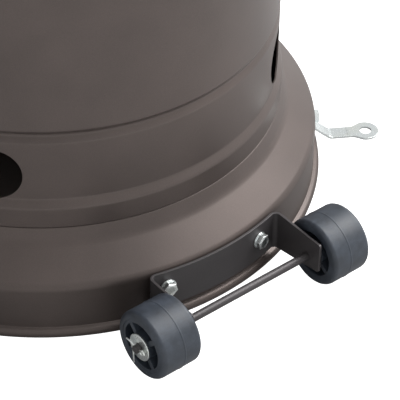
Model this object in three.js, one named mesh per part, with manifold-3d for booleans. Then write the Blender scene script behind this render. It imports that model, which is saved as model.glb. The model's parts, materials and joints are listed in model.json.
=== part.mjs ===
// Free-standing gas patio heater: weighted round base with a transport wheel set and ground
// tabs, a lift-up cover over the gas bottle, a post, a burner head and a round reflector.
// Millimetres, +Z up, origin on the ground at the centre of the base.
// The transport wheels are on the -Y side and the controls face +Y.
// Azimuths are degrees about Z, 0 at -Y and 90 at +X.

import * as THREE from "three";
import { mergeVertices } from "three/addons/utils/BufferGeometryUtils.js";
import Module from "manifold-3d";

const wasm = await Module();
wasm.setup();

// ---------------------------------------------------------------- driving dimensions

const GAP = 0.3;                  // left between pieces that touch
const ROUND = 36;                 // facets round the large turned pieces
const MEDIUM_ROUND = 24;          // facets round the bottle, post and head pieces
const SMALL_ROUND = 12;           // facets round small turned pieces
const HOLE_ROUND = 8;             // facets round a bolt hole

const RIM_RADIUS = 230;           // outside of the rolled rim on the ground
const RIM_ROLL = 4.5;             // radius of the rolled edge
const SKIRT_RADIUS = 224.9;
const SKIRT_TOP = 44;
const HOLE_TURN = -1.3;           // the base's hole pattern, turned from the wheel line
const SHEET = 1.5;                // base sheet
const SHOULDER = 9;               // rounding between skirt and dome
const DOME_SLOPE = 42;            // degrees from level
const SEAT_RADIUS = 194.4;        // where the dome meets the cover
const SEAT_HEIGHT = 84;
const PLATEAU_RADIUS = 182;
const PLATEAU_HEIGHT = 98;

const COVER_RADIUS = 190.4;       // tank cover wall
const COVER_BAND_RADIUS = 194.6;  // its wider bottom band
const COVER_BAND_TOP = 99;
const COVER_SHEET = 1.2;
const COVER_TOP = 612;
const BEAD_DEPTH = 2;
const BEAD_HALF = 5;
const BEAD_HEIGHTS = [168, 540];
const VENT_RADIUS = 23.2;
const VENT_HEIGHT = 132;
const VENT_AZIMUTHS = [-48.7, 41.3, 131.3, 221.3];

const BOTTLE_RADIUS = 155;
const BOTTLE_CENTRE_LOW = 194;
const BOTTLE_CENTRE_HIGH = 375;
const BOTTLE_END_RISE = 78;
const BOTTLE_WALL = 3;
const BOTTLE_NECK = 12;
const FOOT_RING_RADIUS = 110;
const FOOT_RING_TOP = 136;
const GUARD_RADIUS = 105;
const GUARD_LOW = 434;
const GUARD_HIGH = 555;
const GUARD_OPENING = 124;        // degrees left open round the outlet
const OUTLET_HEIGHT = 484;
const OUTLET_RADIUS = 15;
const OUTLET_REACH = 48;

const UPRIGHT_RADIUS = 174;       // outer face of the flat bars
const UPRIGHT_WIDTH = 30;
const UPRIGHT_THICKNESS = 4;
const UPRIGHT_TOP = 604;
const UPRIGHT_BEND = 10;
const UPRIGHT_FOOT_END = 140;
const UPRIGHT_TOP_END = 34;
const UPRIGHT_AZIMUTHS = [0, 105, -105];
const FOOT_BOLT_RADIUS = 156;
const FLANGE_BOLT_RADIUS = 46;

const POST_RADIUS = 30;
const POST_WALL = 2;
const POST_TOP = 1604;
const SOCKET_RADIUS = 34;
const FLANGE_RADIUS = 58;
const FLANGE_THICKNESS = 5;
const FLANGE_HOLE = 22;
const SOCKET_LENGTH = 45;

const WHEEL_AXLE_REACH = 258.25;  // axle line from the heater's axis
const WHEEL_AXLE_HEIGHT = 29.25;
const WHEEL_RADIUS = 28.6;
const WHEEL_INNER = 67.9;
const WHEEL_OUTER = 105.1;
const AXLE_RADIUS = 3.4;
const AXLE_END = 111;
const COTTER_OFFSET = 108.7;
const COTTER_RADIUS = 0.9;
const BRACKET_OUTER = 65.9;
const BRACKET_THICKNESS = 2.3;
const BRACKET_REACH = 272.5;
const BRACKET_LOW = 14;
const BRACKET_HIGH = 49.5;
const BRACKET_ARM_LOW = 21.5;      // the arms narrow towards their ends
const BRACKET_ARM_HIGH = 49;
const BRACKET_BEND = 6;
const BRACKET_TURN = -0.3;         // degrees, as its bolt holes sit a little to one side
const BRACKET_FACE = 225.4;
const BRACKET_BOLT_AZIMUTHS = [-11.3, 11.7].map((azimuth) => azimuth + HOLE_TURN);
const BRACKET_BOLT_HEIGHT = 34.5;

const TAB_AZIMUTHS = [60, 180, -60].map((azimuth) => azimuth + HOLE_TURN);
const TAB_EYE_REACH = 275.5;
const TAB_EYE_RADIUS = 11.5;
const TAB_HOLE_RADIUS = 5.2;
const TAB_WIDTH = 13;
const TAB_THICKNESS = 2;
const TAB_KNEE = 243.5;           // where the tab leaves the ground
const TAB_BOLT_HEIGHT = 21.5;
const TAB_TOP = 30;

const HEAD_LOW = 1610;            // underside of the control housing
const HEAD_HIGH = 1746;
const HEAD_RADIUS_LOW = 92;
const HEAD_RADIUS_HIGH = 102;
const HEAD_SHEET = 1.5;
const KNOB_HEIGHT = 1682;
const KNOB_RADIUS = 28;
const KNOB_LENGTH = 27;
const KNOB_BACK = 105;
const STEM_RADIUS = 4;
const STEM_END = 123;
const IGNITER_AZIMUTH = 140;
const IGNITER_RADIUS = 8;
const IGNITER_SLEEVE = 10;        // outside of the bezel's sleeve
const IGNITER_BEZEL_RADIUS = 13;
const IGNITER_FACE = 101.5;       // back of the bezel's flange

const EMITTER_LOW_RADIUS = 92;
const EMITTER_HIGH_RADIUS = 142;
const EMITTER_HIGH = 2040;
const STUD_CIRCLE = 76;
const STUD_AZIMUTHS = [0, 120, 240];
const REFLECTOR_RADIUS = 406.4;
const REFLECTOR_RIM_HEIGHT = 2106;
const REFLECTOR_TOP = 2184;
const REFLECTOR_SHEET = 1.2;

// ---------------------------------------------------------------- materials

const FINISHES = {
  bronze: { color: 0x5d5552, roughness: 0.42, metalness: 0.6 },
  darkBronze: { color: 0x3a3635, roughness: 0.45, metalness: 0.5 },
  zinc: { color: 0xc9cfcf, roughness: 0.3, metalness: 1 },
  rubber: { color: 0x4a4f57, roughness: 0.6, metalness: 0 },
  bottlePaint: { color: 0xb9bcb8, roughness: 0.45, metalness: 0.2 },
  brass: { color: 0xb08d45, roughness: 0.35, metalness: 1 },
  hoseRubber: { color: 0x1e1e1f, roughness: 0.6, metalness: 0 },
  plastic: { color: 0x1a1a1b, roughness: 0.5, metalness: 0 },
  redPlastic: { color: 0x8f2320, roughness: 0.45, metalness: 0 },
  stainless: { color: 0xa7a5a0, roughness: 0.3, metalness: 1 },
  aluminium: { color: 0xc4c5c6, roughness: 0.25, metalness: 1 },
};

// ---------------------------------------------------------------- outlines

const rad = THREE.MathUtils.degToRad;
const point = (x, y) => new THREE.Vector2(x, y);
const UP = new THREE.Vector3(0, 0, 1);
const FRONT = new THREE.Vector3(0, 1, 0);
const ACROSS = new THREE.Vector3(1, 0, 0);

function arc(x, y, radius, from, to, steps) {
  const points = [];
  for (let i = 0; i <= steps; i += 1) {
    const angle = rad(from + ((to - from) * i) / steps);
    points.push(point(x + radius * Math.cos(angle), y + radius * Math.sin(angle)));
  }
  return points;
}

// A closed outline for sheet of the given thickness, from one side of it.
// A positive thickness lies to the left of the path's direction.
function sheetOutline(path, thickness) {
  const normals = [];
  for (let i = 0; i < path.length - 1; i += 1) {
    const along = path[i + 1].clone().sub(path[i]).normalize();
    normals.push(point(-along.y, along.x));
  }
  const back = path.map((corner, i) => {
    const before = normals[Math.max(i - 1, 0)];
    const after = normals[Math.min(i, normals.length - 1)];
    const mitre = before.clone().add(after).normalize();
    const offset = mitre.multiplyScalar(thickness / mitre.dot(before));
    const moved = corner.clone().add(offset);
    return corner.x === 0 ? point(0, moved.y) : moved;
  });
  return [...path, ...back.reverse()];
}

const mirrored = (path) => path.map((corner) => point(-corner.x, corner.y)).reverse();

// ---------------------------------------------------------------- closed skins

const WELD = 1e-4;

function volumeOf(geometry) {
  const index = geometry.getIndex().array;
  const position = geometry.getAttribute("position");
  const corner = [new THREE.Vector3(), new THREE.Vector3(), new THREE.Vector3()];
  let volume = 0;
  for (let i = 0; i < index.length; i += 3) {
    corner.forEach((vector, k) => vector.fromBufferAttribute(position, index[i + k]));
    volume += corner[0].dot(corner[1].clone().cross(corner[2])) / 6;
  }
  return volume;
}

// Shared corners, no collapsed triangles, faces pointing out.
function closed(geometry) {
  geometry.deleteAttribute("normal");
  geometry.deleteAttribute("uv");
  const merged = mergeVertices(geometry, WELD);
  const index = merged.getIndex().array;
  const corners = [];
  for (let i = 0; i < index.length; i += 3) {
    const triangle = [index[i], index[i + 1], index[i + 2]];
    if (new Set(triangle).size === 3) corners.push(...triangle);
  }
  merged.setIndex(corners);
  if (volumeOf(merged) < 0) merged.setIndex(corners.reverse());
  return merged;
}

function solidOf(geometry) {
  const mesh = new wasm.Mesh({
    numProp: 3,
    vertProperties: Float32Array.from(geometry.getAttribute("position").array),
    triVerts: Uint32Array.from(geometry.getIndex().array),
  });
  return new wasm.Manifold(mesh);
}

function geometryOf(solid) {
  const mesh = solid.getMesh();
  const geometry = new THREE.BufferGeometry();
  geometry.setAttribute("position", new THREE.BufferAttribute(mesh.vertProperties, 3));
  geometry.setIndex(new THREE.BufferAttribute(mesh.triVerts, 1));
  return geometry;
}

function join(...pieces) {
  return geometryOf(pieces.map(solidOf).reduce((whole, piece) => whole.add(piece)));
}

function cut(body, ...tools) {
  return geometryOf(tools.map(solidOf).reduce((rest, tool) => rest.subtract(tool), solidOf(body)));
}

// ---------------------------------------------------------------- basic shapes

// Turned about Z from a profile that starts and ends on the axis.
function turned(profile, facets = ROUND) {
  return closed(new THREE.LatheGeometry(profile, facets).rotateX(Math.PI / 2));
}

// Turned about Z from a closed loop of (radius, height) points.
function ring(loop, facets = ROUND) {
  return turned([...loop, loop[0]], facets);
}

// A plan outline in X and Y, raised along Z.
function raised(outline, low, high) {
  const shape = new THREE.Shape(outline);
  const geometry = new THREE.ExtrudeGeometry(shape, { depth: high - low, bevelEnabled: false });
  return closed(geometry.translate(0, 0, low));
}

// A side outline of (distance from the axis, height) points, widened to both sides of azimuth 0.
function widened(outline, width) {
  const shape = new THREE.Shape(outline);
  const geometry = new THREE.ExtrudeGeometry(shape, { depth: width, bevelEnabled: false });
  const outward = FRONT.clone().negate();
  const sideways = outward.clone().cross(UP);
  geometry.translate(0, 0, -width / 2);
  return closed(geometry.applyMatrix4(new THREE.Matrix4().makeBasis(outward, UP, sideways)));
}

function aimed(geometry, start, direction) {
  const turn = new THREE.Quaternion().setFromUnitVectors(UP, direction.clone().normalize());
  return geometry.applyQuaternion(turn).translate(start.x, start.y, start.z);
}

function prism(radius, length, facets, start, direction) {
  const geometry = new THREE.CylinderGeometry(radius, radius, length, facets);
  geometry.rotateX(Math.PI / 2).translate(0, 0, length / 2);
  return closed(aimed(geometry, start, direction));
}

function along(azimuth, radius, height) {
  return new THREE.Vector3(radius * Math.sin(rad(azimuth)), -radius * Math.cos(rad(azimuth)), height);
}

// A radial hole or rod that starts at one distance from the axis and ends at another.
function radial(azimuth, height, radius, from, to, facets = HOLE_ROUND) {
  return prism(radius, to - from, facets, along(azimuth, from, height), along(azimuth, 1, 0));
}

// An upright hole or rod, from one height to another.
function vertical(azimuth, distance, radius, from, to, facets = HOLE_ROUND) {
  return prism(radius, to - from, facets, along(azimuth, distance, from), UP);
}

// Hexagon bolt with its nut: the grip is what it clamps, and the head is on the far side.
function boltWithNut(size, grip, nutGap = GAP) {
  const hexagon = size.across / Math.sqrt(3);
  const washerHeight = 1;
  const washerLow = grip + GAP;
  const headLow = washerLow + washerHeight / 2;
  const nutLow = -size.nut - nutGap;
  const tip = nutLow - 1;
  return join(
    prism(size.shank, headLow + 1 - tip, HOLE_ROUND, new THREE.Vector3(0, 0, tip), UP),
    prism(hexagon, size.nut, 6, new THREE.Vector3(0, 0, nutLow), UP),
    prism(size.washer, washerHeight, SMALL_ROUND, new THREE.Vector3(0, 0, washerLow), UP),
    prism(hexagon, size.head, 6, new THREE.Vector3(0, 0, headLow), UP),
  );
}

// ---------------------------------------------------------------- assembly

const heater = new THREE.Group();

function add(name, finish, geometry, azimuth = 0) {
  const mesh = new THREE.Mesh(geometry, new THREE.MeshStandardMaterial(FINISHES[finish]));
  mesh.name = name;
  mesh.rotation.z = rad(azimuth);
  heater.add(mesh);
}

// ---------------------------------------------------------------- base

const M8 = { shank: 3.9, hole: 4.3, across: 13, head: 5.5, nut: 6.5, washer: 8 };
const M6 = { shank: 2.9, hole: 3.3, across: 10, head: 4.5, nut: 5, washer: 6.4 };
const QUARTER_INCH = { shank: 3.1, hole: 3.5, across: 11.1, head: 4.6, nut: 5.6, washer: 7 };

function skirtHole(azimuth, height, size) {
  return radial(azimuth, height, size.hole, SKIRT_RADIUS - 15, SKIRT_RADIUS + 15);
}

// From the skirt over the shoulder, up the slope and into a steeper fillet under the seat.
function domeProfile() {
  const slope = rad(DOME_SLOPE);
  const shoulder = arc(SKIRT_RADIUS - SHOULDER, SKIRT_TOP, SHOULDER, 0, 90 - DOME_SLOPE, 3);
  const shoulderEnd = shoulder.at(-1);
  const fillet = 16;
  const steep = 80;
  const filletStart = SEAT_RADIUS + fillet * (Math.sin(rad(steep)) - Math.sin(slope));
  const filletRise = (shoulderEnd.x - filletStart) * Math.tan(slope);
  const filletX = filletStart + fillet * Math.sin(slope);
  const filletY = shoulderEnd.y + filletRise + fillet * Math.cos(slope);
  return [...shoulder, ...arc(filletX, filletY, fillet, 270 - DOME_SLOPE, 270 - steep, 2)];
}

function basePan() {
  const rimCentre = RIM_RADIUS - RIM_ROLL;
  const restHalf = 1.2;
  const roll = [
    ...arc(rimCentre, RIM_ROLL, RIM_ROLL, -165, -115, 1),
    point(rimCentre - restHalf, 0),
    point(rimCentre + restHalf, 0),
    ...arc(rimCentre, RIM_ROLL, RIM_ROLL, -65, 92, 4),
  ];
  const wallInside = SKIRT_RADIUS - SHEET;
  const outside = [
    point(SKIRT_RADIUS, 2 * RIM_ROLL + 1),
    ...domeProfile(),
    point(SEAT_RADIUS, SEAT_HEIGHT - 1),
    point(SEAT_RADIUS - 1, SEAT_HEIGHT),
    point(SEAT_RADIUS - 8, SEAT_HEIGHT),
    point(SEAT_RADIUS - 9, SEAT_HEIGHT + 1),
    point(PLATEAU_RADIUS + 2, PLATEAU_HEIGHT - 2),
    point(PLATEAU_RADIUS, PLATEAU_HEIGHT),
    point(0, PLATEAU_HEIGHT),
  ];
  const skin = sheetOutline(outside, SHEET);
  const profile = [...skin.slice(outside.length), point(wallInside, RIM_ROLL + 3), ...roll, ...outside];
  const holes = [
    ...BRACKET_BOLT_AZIMUTHS.map((azimuth) => skirtHole(azimuth, BRACKET_BOLT_HEIGHT, QUARTER_INCH)),
    ...TAB_AZIMUTHS.map((azimuth) => skirtHole(azimuth, TAB_BOLT_HEIGHT, M6)),
    ...UPRIGHT_AZIMUTHS.map((azimuth) => vertical(azimuth, FOOT_BOLT_RADIUS, M8.hole, 80, 110)),
  ];
  return cut(turned(profile), ...holes);
}

add("base_pan", "bronze", basePan());

function uprightBar() {
  const foot = PLATEAU_HEIGHT + GAP;
  const bend = UPRIGHT_BEND;
  const path = [
    point(UPRIGHT_FOOT_END, foot),
    ...arc(UPRIGHT_RADIUS - bend, foot + bend, bend, -90, 0, 4),
    ...arc(UPRIGHT_RADIUS - bend, UPRIGHT_TOP - bend, bend, 0, 90, 4),
    point(UPRIGHT_TOP_END, UPRIGHT_TOP),
  ];
  return cut(
    widened(sheetOutline(path, UPRIGHT_THICKNESS), UPRIGHT_WIDTH),
    vertical(0, FOOT_BOLT_RADIUS, M8.hole, foot - 5, foot + 10),
    vertical(0, FLANGE_BOLT_RADIUS, M8.hole, UPRIGHT_TOP - 10, UPRIGHT_TOP + 5),
  );
}

function uprightBolt(distance, low, grip) {
  return boltWithNut(M8, grip).translate(0, -distance, low);
}

UPRIGHT_AZIMUTHS.forEach((azimuth, i) => {
  const footGrip = SHEET + UPRIGHT_THICKNESS + GAP;
  const flangeGrip = FLANGE_THICKNESS + UPRIGHT_THICKNESS + GAP;
  const flangeLow = UPRIGHT_TOP - UPRIGHT_THICKNESS;
  add(`upright_${i + 1}`, "darkBronze", uprightBar(), azimuth);
  add(`upright_foot_bolt_${i + 1}`, "zinc",
    uprightBolt(FOOT_BOLT_RADIUS, PLATEAU_HEIGHT - SHEET, footGrip), azimuth);
  add(`post_foot_bolt_${i + 1}`, "zinc", uprightBolt(FLANGE_BOLT_RADIUS, flangeLow, flangeGrip), azimuth);
});

// ---------------------------------------------------------------- ground tabs

function anchorTab() {
  const face = SKIRT_RADIUS + 2 * GAP + TAB_THICKNESS;
  const overRim = 2 * RIM_ROLL + 3.5;
  const path = [
    point(TAB_EYE_REACH - TAB_EYE_RADIUS + 1, TAB_THICKNESS),
    point(TAB_KNEE, TAB_THICKNESS),
    point(RIM_RADIUS + 0.5, overRim),
    point(face, overRim + 3),
    point(face, TAB_TOP),
  ];
  const strip = widened(sheetOutline(path, TAB_THICKNESS), TAB_WIDTH);
  const eye = vertical(0, TAB_EYE_REACH, TAB_EYE_RADIUS, 0, TAB_THICKNESS, SMALL_ROUND);
  return cut(
    join(strip, eye),
    vertical(0, TAB_EYE_REACH, TAB_HOLE_RADIUS, -5, 5, SMALL_ROUND),
    skirtHole(0, TAB_BOLT_HEIGHT, M6),
  );
}

function skirtBolt(size, height, thickness) {
  const grip = SHEET + thickness + 3 * GAP;
  const curvedWallGap = 1.2;
  const bolt = boltWithNut(size, grip, curvedWallGap);
  return aimed(bolt, along(0, SKIRT_RADIUS - SHEET, height), along(0, 1, 0));
}

TAB_AZIMUTHS.forEach((azimuth, i) => {
  add(`anchor_tab_${i + 1}`, "zinc", anchorTab(), azimuth);
  add(`anchor_bolt_${i + 1}`, "zinc", skirtBolt(M6, TAB_BOLT_HEIGHT, TAB_THICKNESS), azimuth);
});

// ---------------------------------------------------------------- transport wheels

function wheelBracket() {
  const bendX = BRACKET_OUTER - BRACKET_BEND;
  const bendReach = Math.sqrt((BRACKET_FACE + BRACKET_BEND) ** 2 - bendX ** 2);
  const bendAzimuth = THREE.MathUtils.radToDeg(Math.asin(bendX / (BRACKET_FACE + BRACKET_BEND)));
  const plateStep = 360 / ROUND;
  const half = [
    point(BRACKET_OUTER, -BRACKET_REACH),
    ...arc(bendX, -bendReach, BRACKET_BEND, 0, 90 + bendAzimuth, 5),
    point(BRACKET_FACE * Math.sin(rad(plateStep)), -BRACKET_FACE * Math.cos(rad(plateStep))),
  ];
  const path = [...half, point(0, -BRACKET_FACE), ...mirrored(half)];
  const strap = raised(sheetOutline(path, BRACKET_THICKNESS), BRACKET_LOW, BRACKET_HIGH);
  const bendOut = bendReach + BRACKET_BEND;
  const taper = (low, high) => widened([
    point(bendOut, low), point(BRACKET_REACH + 1, high), point(BRACKET_REACH + 1, low)], 3 * BRACKET_OUTER);
  return cut(
    cut(strap, taper(BRACKET_LOW, BRACKET_ARM_LOW), taper(BRACKET_HIGH, BRACKET_ARM_HIGH))
      .rotateZ(rad(BRACKET_TURN)),
    axleRod(AXLE_RADIUS + GAP, 80),
    ...BRACKET_BOLT_AZIMUTHS.map((azimuth) => skirtHole(azimuth, BRACKET_BOLT_HEIGHT, QUARTER_INCH)),
  );
}

function axleRod(radius, end) {
  const start = new THREE.Vector3(-end, -WHEEL_AXLE_REACH, WHEEL_AXLE_HEIGHT);
  return prism(radius, 2 * end, SMALL_ROUND, start, ACROSS);
}

function cotterRod(side, radius, half) {
  const start = new THREE.Vector3(side * COTTER_OFFSET, -WHEEL_AXLE_REACH - half, WHEEL_AXLE_HEIGHT);
  return prism(radius, 2 * half, HOLE_ROUND, start, FRONT);
}

// A turned piece on the axle, from a loop of (radius, distance from the middle) points.
function onAxle(loop, side, facets) {
  const geometry = ring(loop, facets).rotateY((side * Math.PI) / 2);
  return geometry.translate(0, -WHEEL_AXLE_REACH, WHEEL_AXLE_HEIGHT);
}

function wheel(side) {
  const bore = AXLE_RADIUS + GAP;
  const hub = 11;
  const well = 19;
  const wellDepth = 5;
  const corner = 3.5;
  const tread = WHEEL_RADIUS - corner;
  return onAxle([
    point(bore, WHEEL_INNER),
    point(hub, WHEEL_INNER),
    point(hub + 1, WHEEL_INNER + wellDepth),
    point(well, WHEEL_INNER + wellDepth),
    point(well + 1, WHEEL_INNER),
    ...arc(tread, WHEEL_INNER + corner, corner, -90, 0, 2),
    ...arc(tread, WHEEL_OUTER - corner, corner, 0, 90, 2),
    point(well + 1, WHEEL_OUTER),
    point(well, WHEEL_OUTER - wellDepth),
    point(hub + 1, WHEEL_OUTER - wellDepth),
    point(hub, WHEEL_OUTER),
    point(bore, WHEEL_OUTER),
  ], side, 20);
}

function washer(side) {
  const face = WHEEL_OUTER + GAP;
  const bore = AXLE_RADIUS + GAP;
  const radius = 11.5;
  const thickness = 1.3;
  return onAxle([
    point(bore, face),
    point(radius, face),
    point(radius, face + thickness),
    point(bore, face + thickness),
  ], side, SMALL_ROUND);
}

function axle() {
  const cross = COTTER_RADIUS + GAP;
  return cut(axleRod(AXLE_RADIUS, AXLE_END), cotterRod(-1, cross, 8), cotterRod(1, cross, 8));
}

add("wheel_bracket", "darkBronze", wheelBracket());
BRACKET_BOLT_AZIMUTHS.forEach((azimuth, i) => {
  const bolt = skirtBolt(QUARTER_INCH, BRACKET_BOLT_HEIGHT, BRACKET_THICKNESS + GAP);
  add(`bracket_bolt_${i + 1}`, "zinc", bolt, azimuth);
});
add("axle", "darkBronze", axle());
for (const [label, side] of [["left", -1], ["right", 1]]) {
  add(`wheel_${label}`, "rubber", wheel(side));
  add(`washer_${label}`, "zinc", washer(side));
  add(`cotter_${label}`, "zinc", cotterRod(side, COTTER_RADIUS, 9));
}

// ---------------------------------------------------------------- gas bottle

// A quarter of the bottle's rounded end; a start at the bottom lies on the axis.
function bottleEnd(radius, rise, from, to, centre, steps) {
  return arc(0, 0, 1, from, to, steps).map((unit) => {
    const onAxis = Math.abs(unit.x) < WELD;
    return point(onAxis ? 0 : radius * unit.x, centre + rise * unit.y);
  });
}

function bottleBody() {
  const inner = BOTTLE_RADIUS - BOTTLE_WALL;
  const innerRise = BOTTLE_END_RISE - BOTTLE_WALL;
  const neck = THREE.MathUtils.radToDeg(Math.acos(BOTTLE_NECK / BOTTLE_RADIUS));
  return turned([
    ...bottleEnd(BOTTLE_RADIUS, BOTTLE_END_RISE, -90, 0, BOTTLE_CENTRE_LOW, 5),
    ...bottleEnd(BOTTLE_RADIUS, BOTTLE_END_RISE, 0, neck, BOTTLE_CENTRE_HIGH, 5),
    ...bottleEnd(inner, innerRise, neck, 0, BOTTLE_CENTRE_HIGH, 5),
    ...bottleEnd(inner, innerRise, 0, -90, BOTTLE_CENTRE_LOW, 5),
  ], MEDIUM_ROUND);
}

function footRing() {
  return ring([
    point(FOOT_RING_RADIUS - BOTTLE_WALL, PLATEAU_HEIGHT + GAP),
    point(FOOT_RING_RADIUS, PLATEAU_HEIGHT + GAP),
    point(FOOT_RING_RADIUS, FOOT_RING_TOP),
    point(FOOT_RING_RADIUS - BOTTLE_WALL, FOOT_RING_TOP),
  ], MEDIUM_ROUND);
}

// The guard is open round the outlet, which faces azimuth 180.
function bottleGuard() {
  const from = 90 + GUARD_OPENING / 2;
  const to = 450 - GUARD_OPENING / 2;
  const outer = arc(0, 0, GUARD_RADIUS, from, to, 14);
  const inner = arc(0, 0, GUARD_RADIUS - BOTTLE_WALL, to, from, 14);
  return raised([...outer, ...inner], GUARD_LOW, GUARD_HIGH);
}

const VALVE_LOW = BOTTLE_CENTRE_HIGH + BOTTLE_END_RISE + GAP;
const VALVE_HIGH = 512;
const HANDWHEEL_RADIUS = 27;

function bottleValve() {
  const start = new THREE.Vector3(0, 0, VALVE_LOW);
  const outlet = new THREE.Vector3(0, 0, OUTLET_HEIGHT);
  const baseHexagon = 16;
  const bodyRadius = 13;
  return join(
    prism(baseHexagon, 12, 6, start, UP),
    prism(bodyRadius, VALVE_HIGH - VALVE_LOW, SMALL_ROUND, start, UP),
    prism(OUTLET_RADIUS, OUTLET_REACH, SMALL_ROUND, outlet, FRONT),
  );
}

function handwheel() {
  const lobes = 8;
  const lobeDepth = 1.6;
  const steps = 32;
  const height = 16;
  const low = VALVE_HIGH + GAP;
  const outline = [];
  for (let i = 0; i < steps; i += 1) {
    const angle = (2 * Math.PI * i) / steps;
    const radius = HANDWHEEL_RADIUS + lobeDepth * Math.cos(lobes * angle);
    outline.push(point(radius * Math.cos(angle), radius * Math.sin(angle)));
  }
  return raised(outline, low, low + height);
}

// A turned piece on the outlet's line, from a loop of (radius, distance from the bottle axis) points.
function onOutlet(loop, facets) {
  return ring(loop, facets).rotateX(-Math.PI / 2).translate(0, 0, OUTLET_HEIGHT);
}

const NUT_START = 20;
const NUT_END = 56;
const NUT_RADIUS = 24;
const INLET_RADIUS = 8;
const BARB_RADIUS = 6;
const REGULATOR_REACH = 112;
const REGULATOR_RADIUS = 34;
const REGULATOR_LOW = 464;
const REGULATOR_HIGH = 500;

function couplingNut() {
  const neck = INLET_RADIUS + 2 * GAP;
  const thread = OUTLET_RADIUS + 2 * GAP;
  return onOutlet([
    point(thread, NUT_START),
    point(NUT_RADIUS, NUT_START),
    point(NUT_RADIUS, NUT_END - 6),
    point(NUT_RADIUS - 4, NUT_END),
    point(neck, NUT_END),
    point(neck, OUTLET_REACH + 2),
    point(thread, OUTLET_REACH + 2),
  ], MEDIUM_ROUND);
}

function regulator() {
  const inlet = new THREE.Vector3(0, OUTLET_REACH + 1, OUTLET_HEIGHT);
  const disc = (height) => new THREE.Vector3(0, REGULATOR_REACH, height);
  return join(
    prism(REGULATOR_RADIUS, REGULATOR_HIGH - REGULATOR_LOW, MEDIUM_ROUND, disc(REGULATOR_LOW), UP),
    prism(REGULATOR_RADIUS - 12, 6, MEDIUM_ROUND, disc(REGULATOR_HIGH - 1), UP),
    prism(INLET_RADIUS, REGULATOR_REACH - OUTLET_REACH, SMALL_ROUND, inlet, FRONT),
    prism(BARB_RADIUS, REGULATOR_RADIUS + 12, HOLE_ROUND, disc(OUTLET_HEIGHT), ACROSS),
  );
}

// The hose is held all the way: from the regulator over the guard and up inside the post.
const HOSE_RADIUS = 5;
const HOSE_ROUTE = [
  [46.5, 112, 484],
  [66, 111, 485],
  [86, 102, 500],
  [90, 88, 526],
  [80, 74, 552],
  [60, 54, 571],
  [34, 29, 583],
  [12, 10, 599],
  [2, 2, 626],
  [0, 0, 665],
  [0, 0, 900],
  [0, 0, 1250],
  [0, 0, 1600],
  [0, 0, 1656],
];

function gasHose() {
  const route = new THREE.CatmullRomCurve3(HOSE_ROUTE.map((place) => new THREE.Vector3(...place)));
  const section = new THREE.Shape(arc(0, 0, HOSE_RADIUS, 0, 315, 7));
  return closed(new THREE.ExtrudeGeometry(section, { steps: 60, extrudePath: route }));
}

// The strap lies on the bottle and bulges out round each upright.
function strapOutline(extra) {
  const clearance = 0.8;
  const belt = BOTTLE_RADIUS + clearance;
  const bar = UPRIGHT_RADIUS + clearance;
  const corner = Math.atan(UPRIGHT_WIDTH / 2 / bar);
  const cornerReach = bar / Math.cos(corner);
  const cornerDegrees = THREE.MathUtils.radToDeg(corner);
  const tangentDegrees = THREE.MathUtils.radToDeg(corner + Math.acos(belt / cornerReach));
  const places = UPRIGHT_AZIMUTHS.map((azimuth) => (azimuth + 360) % 360).sort((a, b) => a - b);
  return places.flatMap((place, i) => {
    const next = i + 1 < places.length ? places[i + 1] : places[0] + 360;
    const middle = place - 90;
    return [
      ...arc(0, 0, cornerReach + extra, middle - cornerDegrees, middle + cornerDegrees, 1),
      ...arc(0, 0, belt + extra, middle + tangentDegrees, next - 90 - tangentDegrees, 8),
    ];
  });
}

function bottleStrap() {
  const thickness = 1.6;
  const low = 300;
  const width = 25;
  const shape = new THREE.Shape(strapOutline(thickness));
  shape.holes.push(new THREE.Path(strapOutline(0)));
  const band = new THREE.ExtrudeGeometry(shape, { depth: width, bevelEnabled: false });
  return closed(band.translate(0, 0, low));
}

add("gas_bottle", "bottlePaint", bottleBody());
add("bottle_foot_ring", "bottlePaint", footRing());
add("bottle_guard", "bottlePaint", bottleGuard());
add("bottle_valve", "brass", bottleValve());
add("valve_handwheel", "redPlastic", handwheel());
add("coupling_nut", "plastic", couplingNut());
add("regulator", "stainless", regulator());
add("gas_hose", "hoseRubber", gasHose());
add("bottle_strap", "hoseRubber", bottleStrap());

// ---------------------------------------------------------------- tank cover

function bead(height) {
  const slope = 1.5;
  return [
    point(COVER_RADIUS, height - BEAD_HALF),
    point(COVER_RADIUS - BEAD_DEPTH, height - slope),
    point(COVER_RADIUS - BEAD_DEPTH, height + slope),
    point(COVER_RADIUS, height + BEAD_HALF),
  ];
}

function tankCover() {
  const path = [
    point(COVER_BAND_RADIUS, SEAT_HEIGHT + GAP),
    ...arc(COVER_BAND_RADIUS - 5, COVER_BAND_TOP, 5, 0, 55, 2),
    point(COVER_RADIUS, COVER_BAND_TOP + 9),
    point(COVER_RADIUS, COVER_BAND_TOP + 12),
    ...BEAD_HEIGHTS.flatMap(bead),
    point(COVER_RADIUS, COVER_TOP),
  ];
  const vents = VENT_AZIMUTHS.map((azimuth) => radial(azimuth, VENT_HEIGHT, VENT_RADIUS, 150, 230, 16));
  return cut(ring(sheetOutline(path, COVER_SHEET)), ...vents);
}

const NECK_RADIUS = 38;
const NECK_LOW = 668;
const NECK_HIGH = 690;

function coverLid() {
  const skirt = COVER_RADIUS + COVER_SHEET + 1.2;
  const edge = 8;
  const path = [
    point(skirt, COVER_TOP - 8),
    ...arc(skirt - edge, COVER_TOP + 6, edge, 0, 70, 2),
    point(NECK_RADIUS + 6, NECK_LOW),
    point(NECK_RADIUS, NECK_LOW + 5),
    point(NECK_RADIUS, NECK_HIGH),
  ];
  return ring(sheetOutline(path, COVER_SHEET));
}

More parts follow.
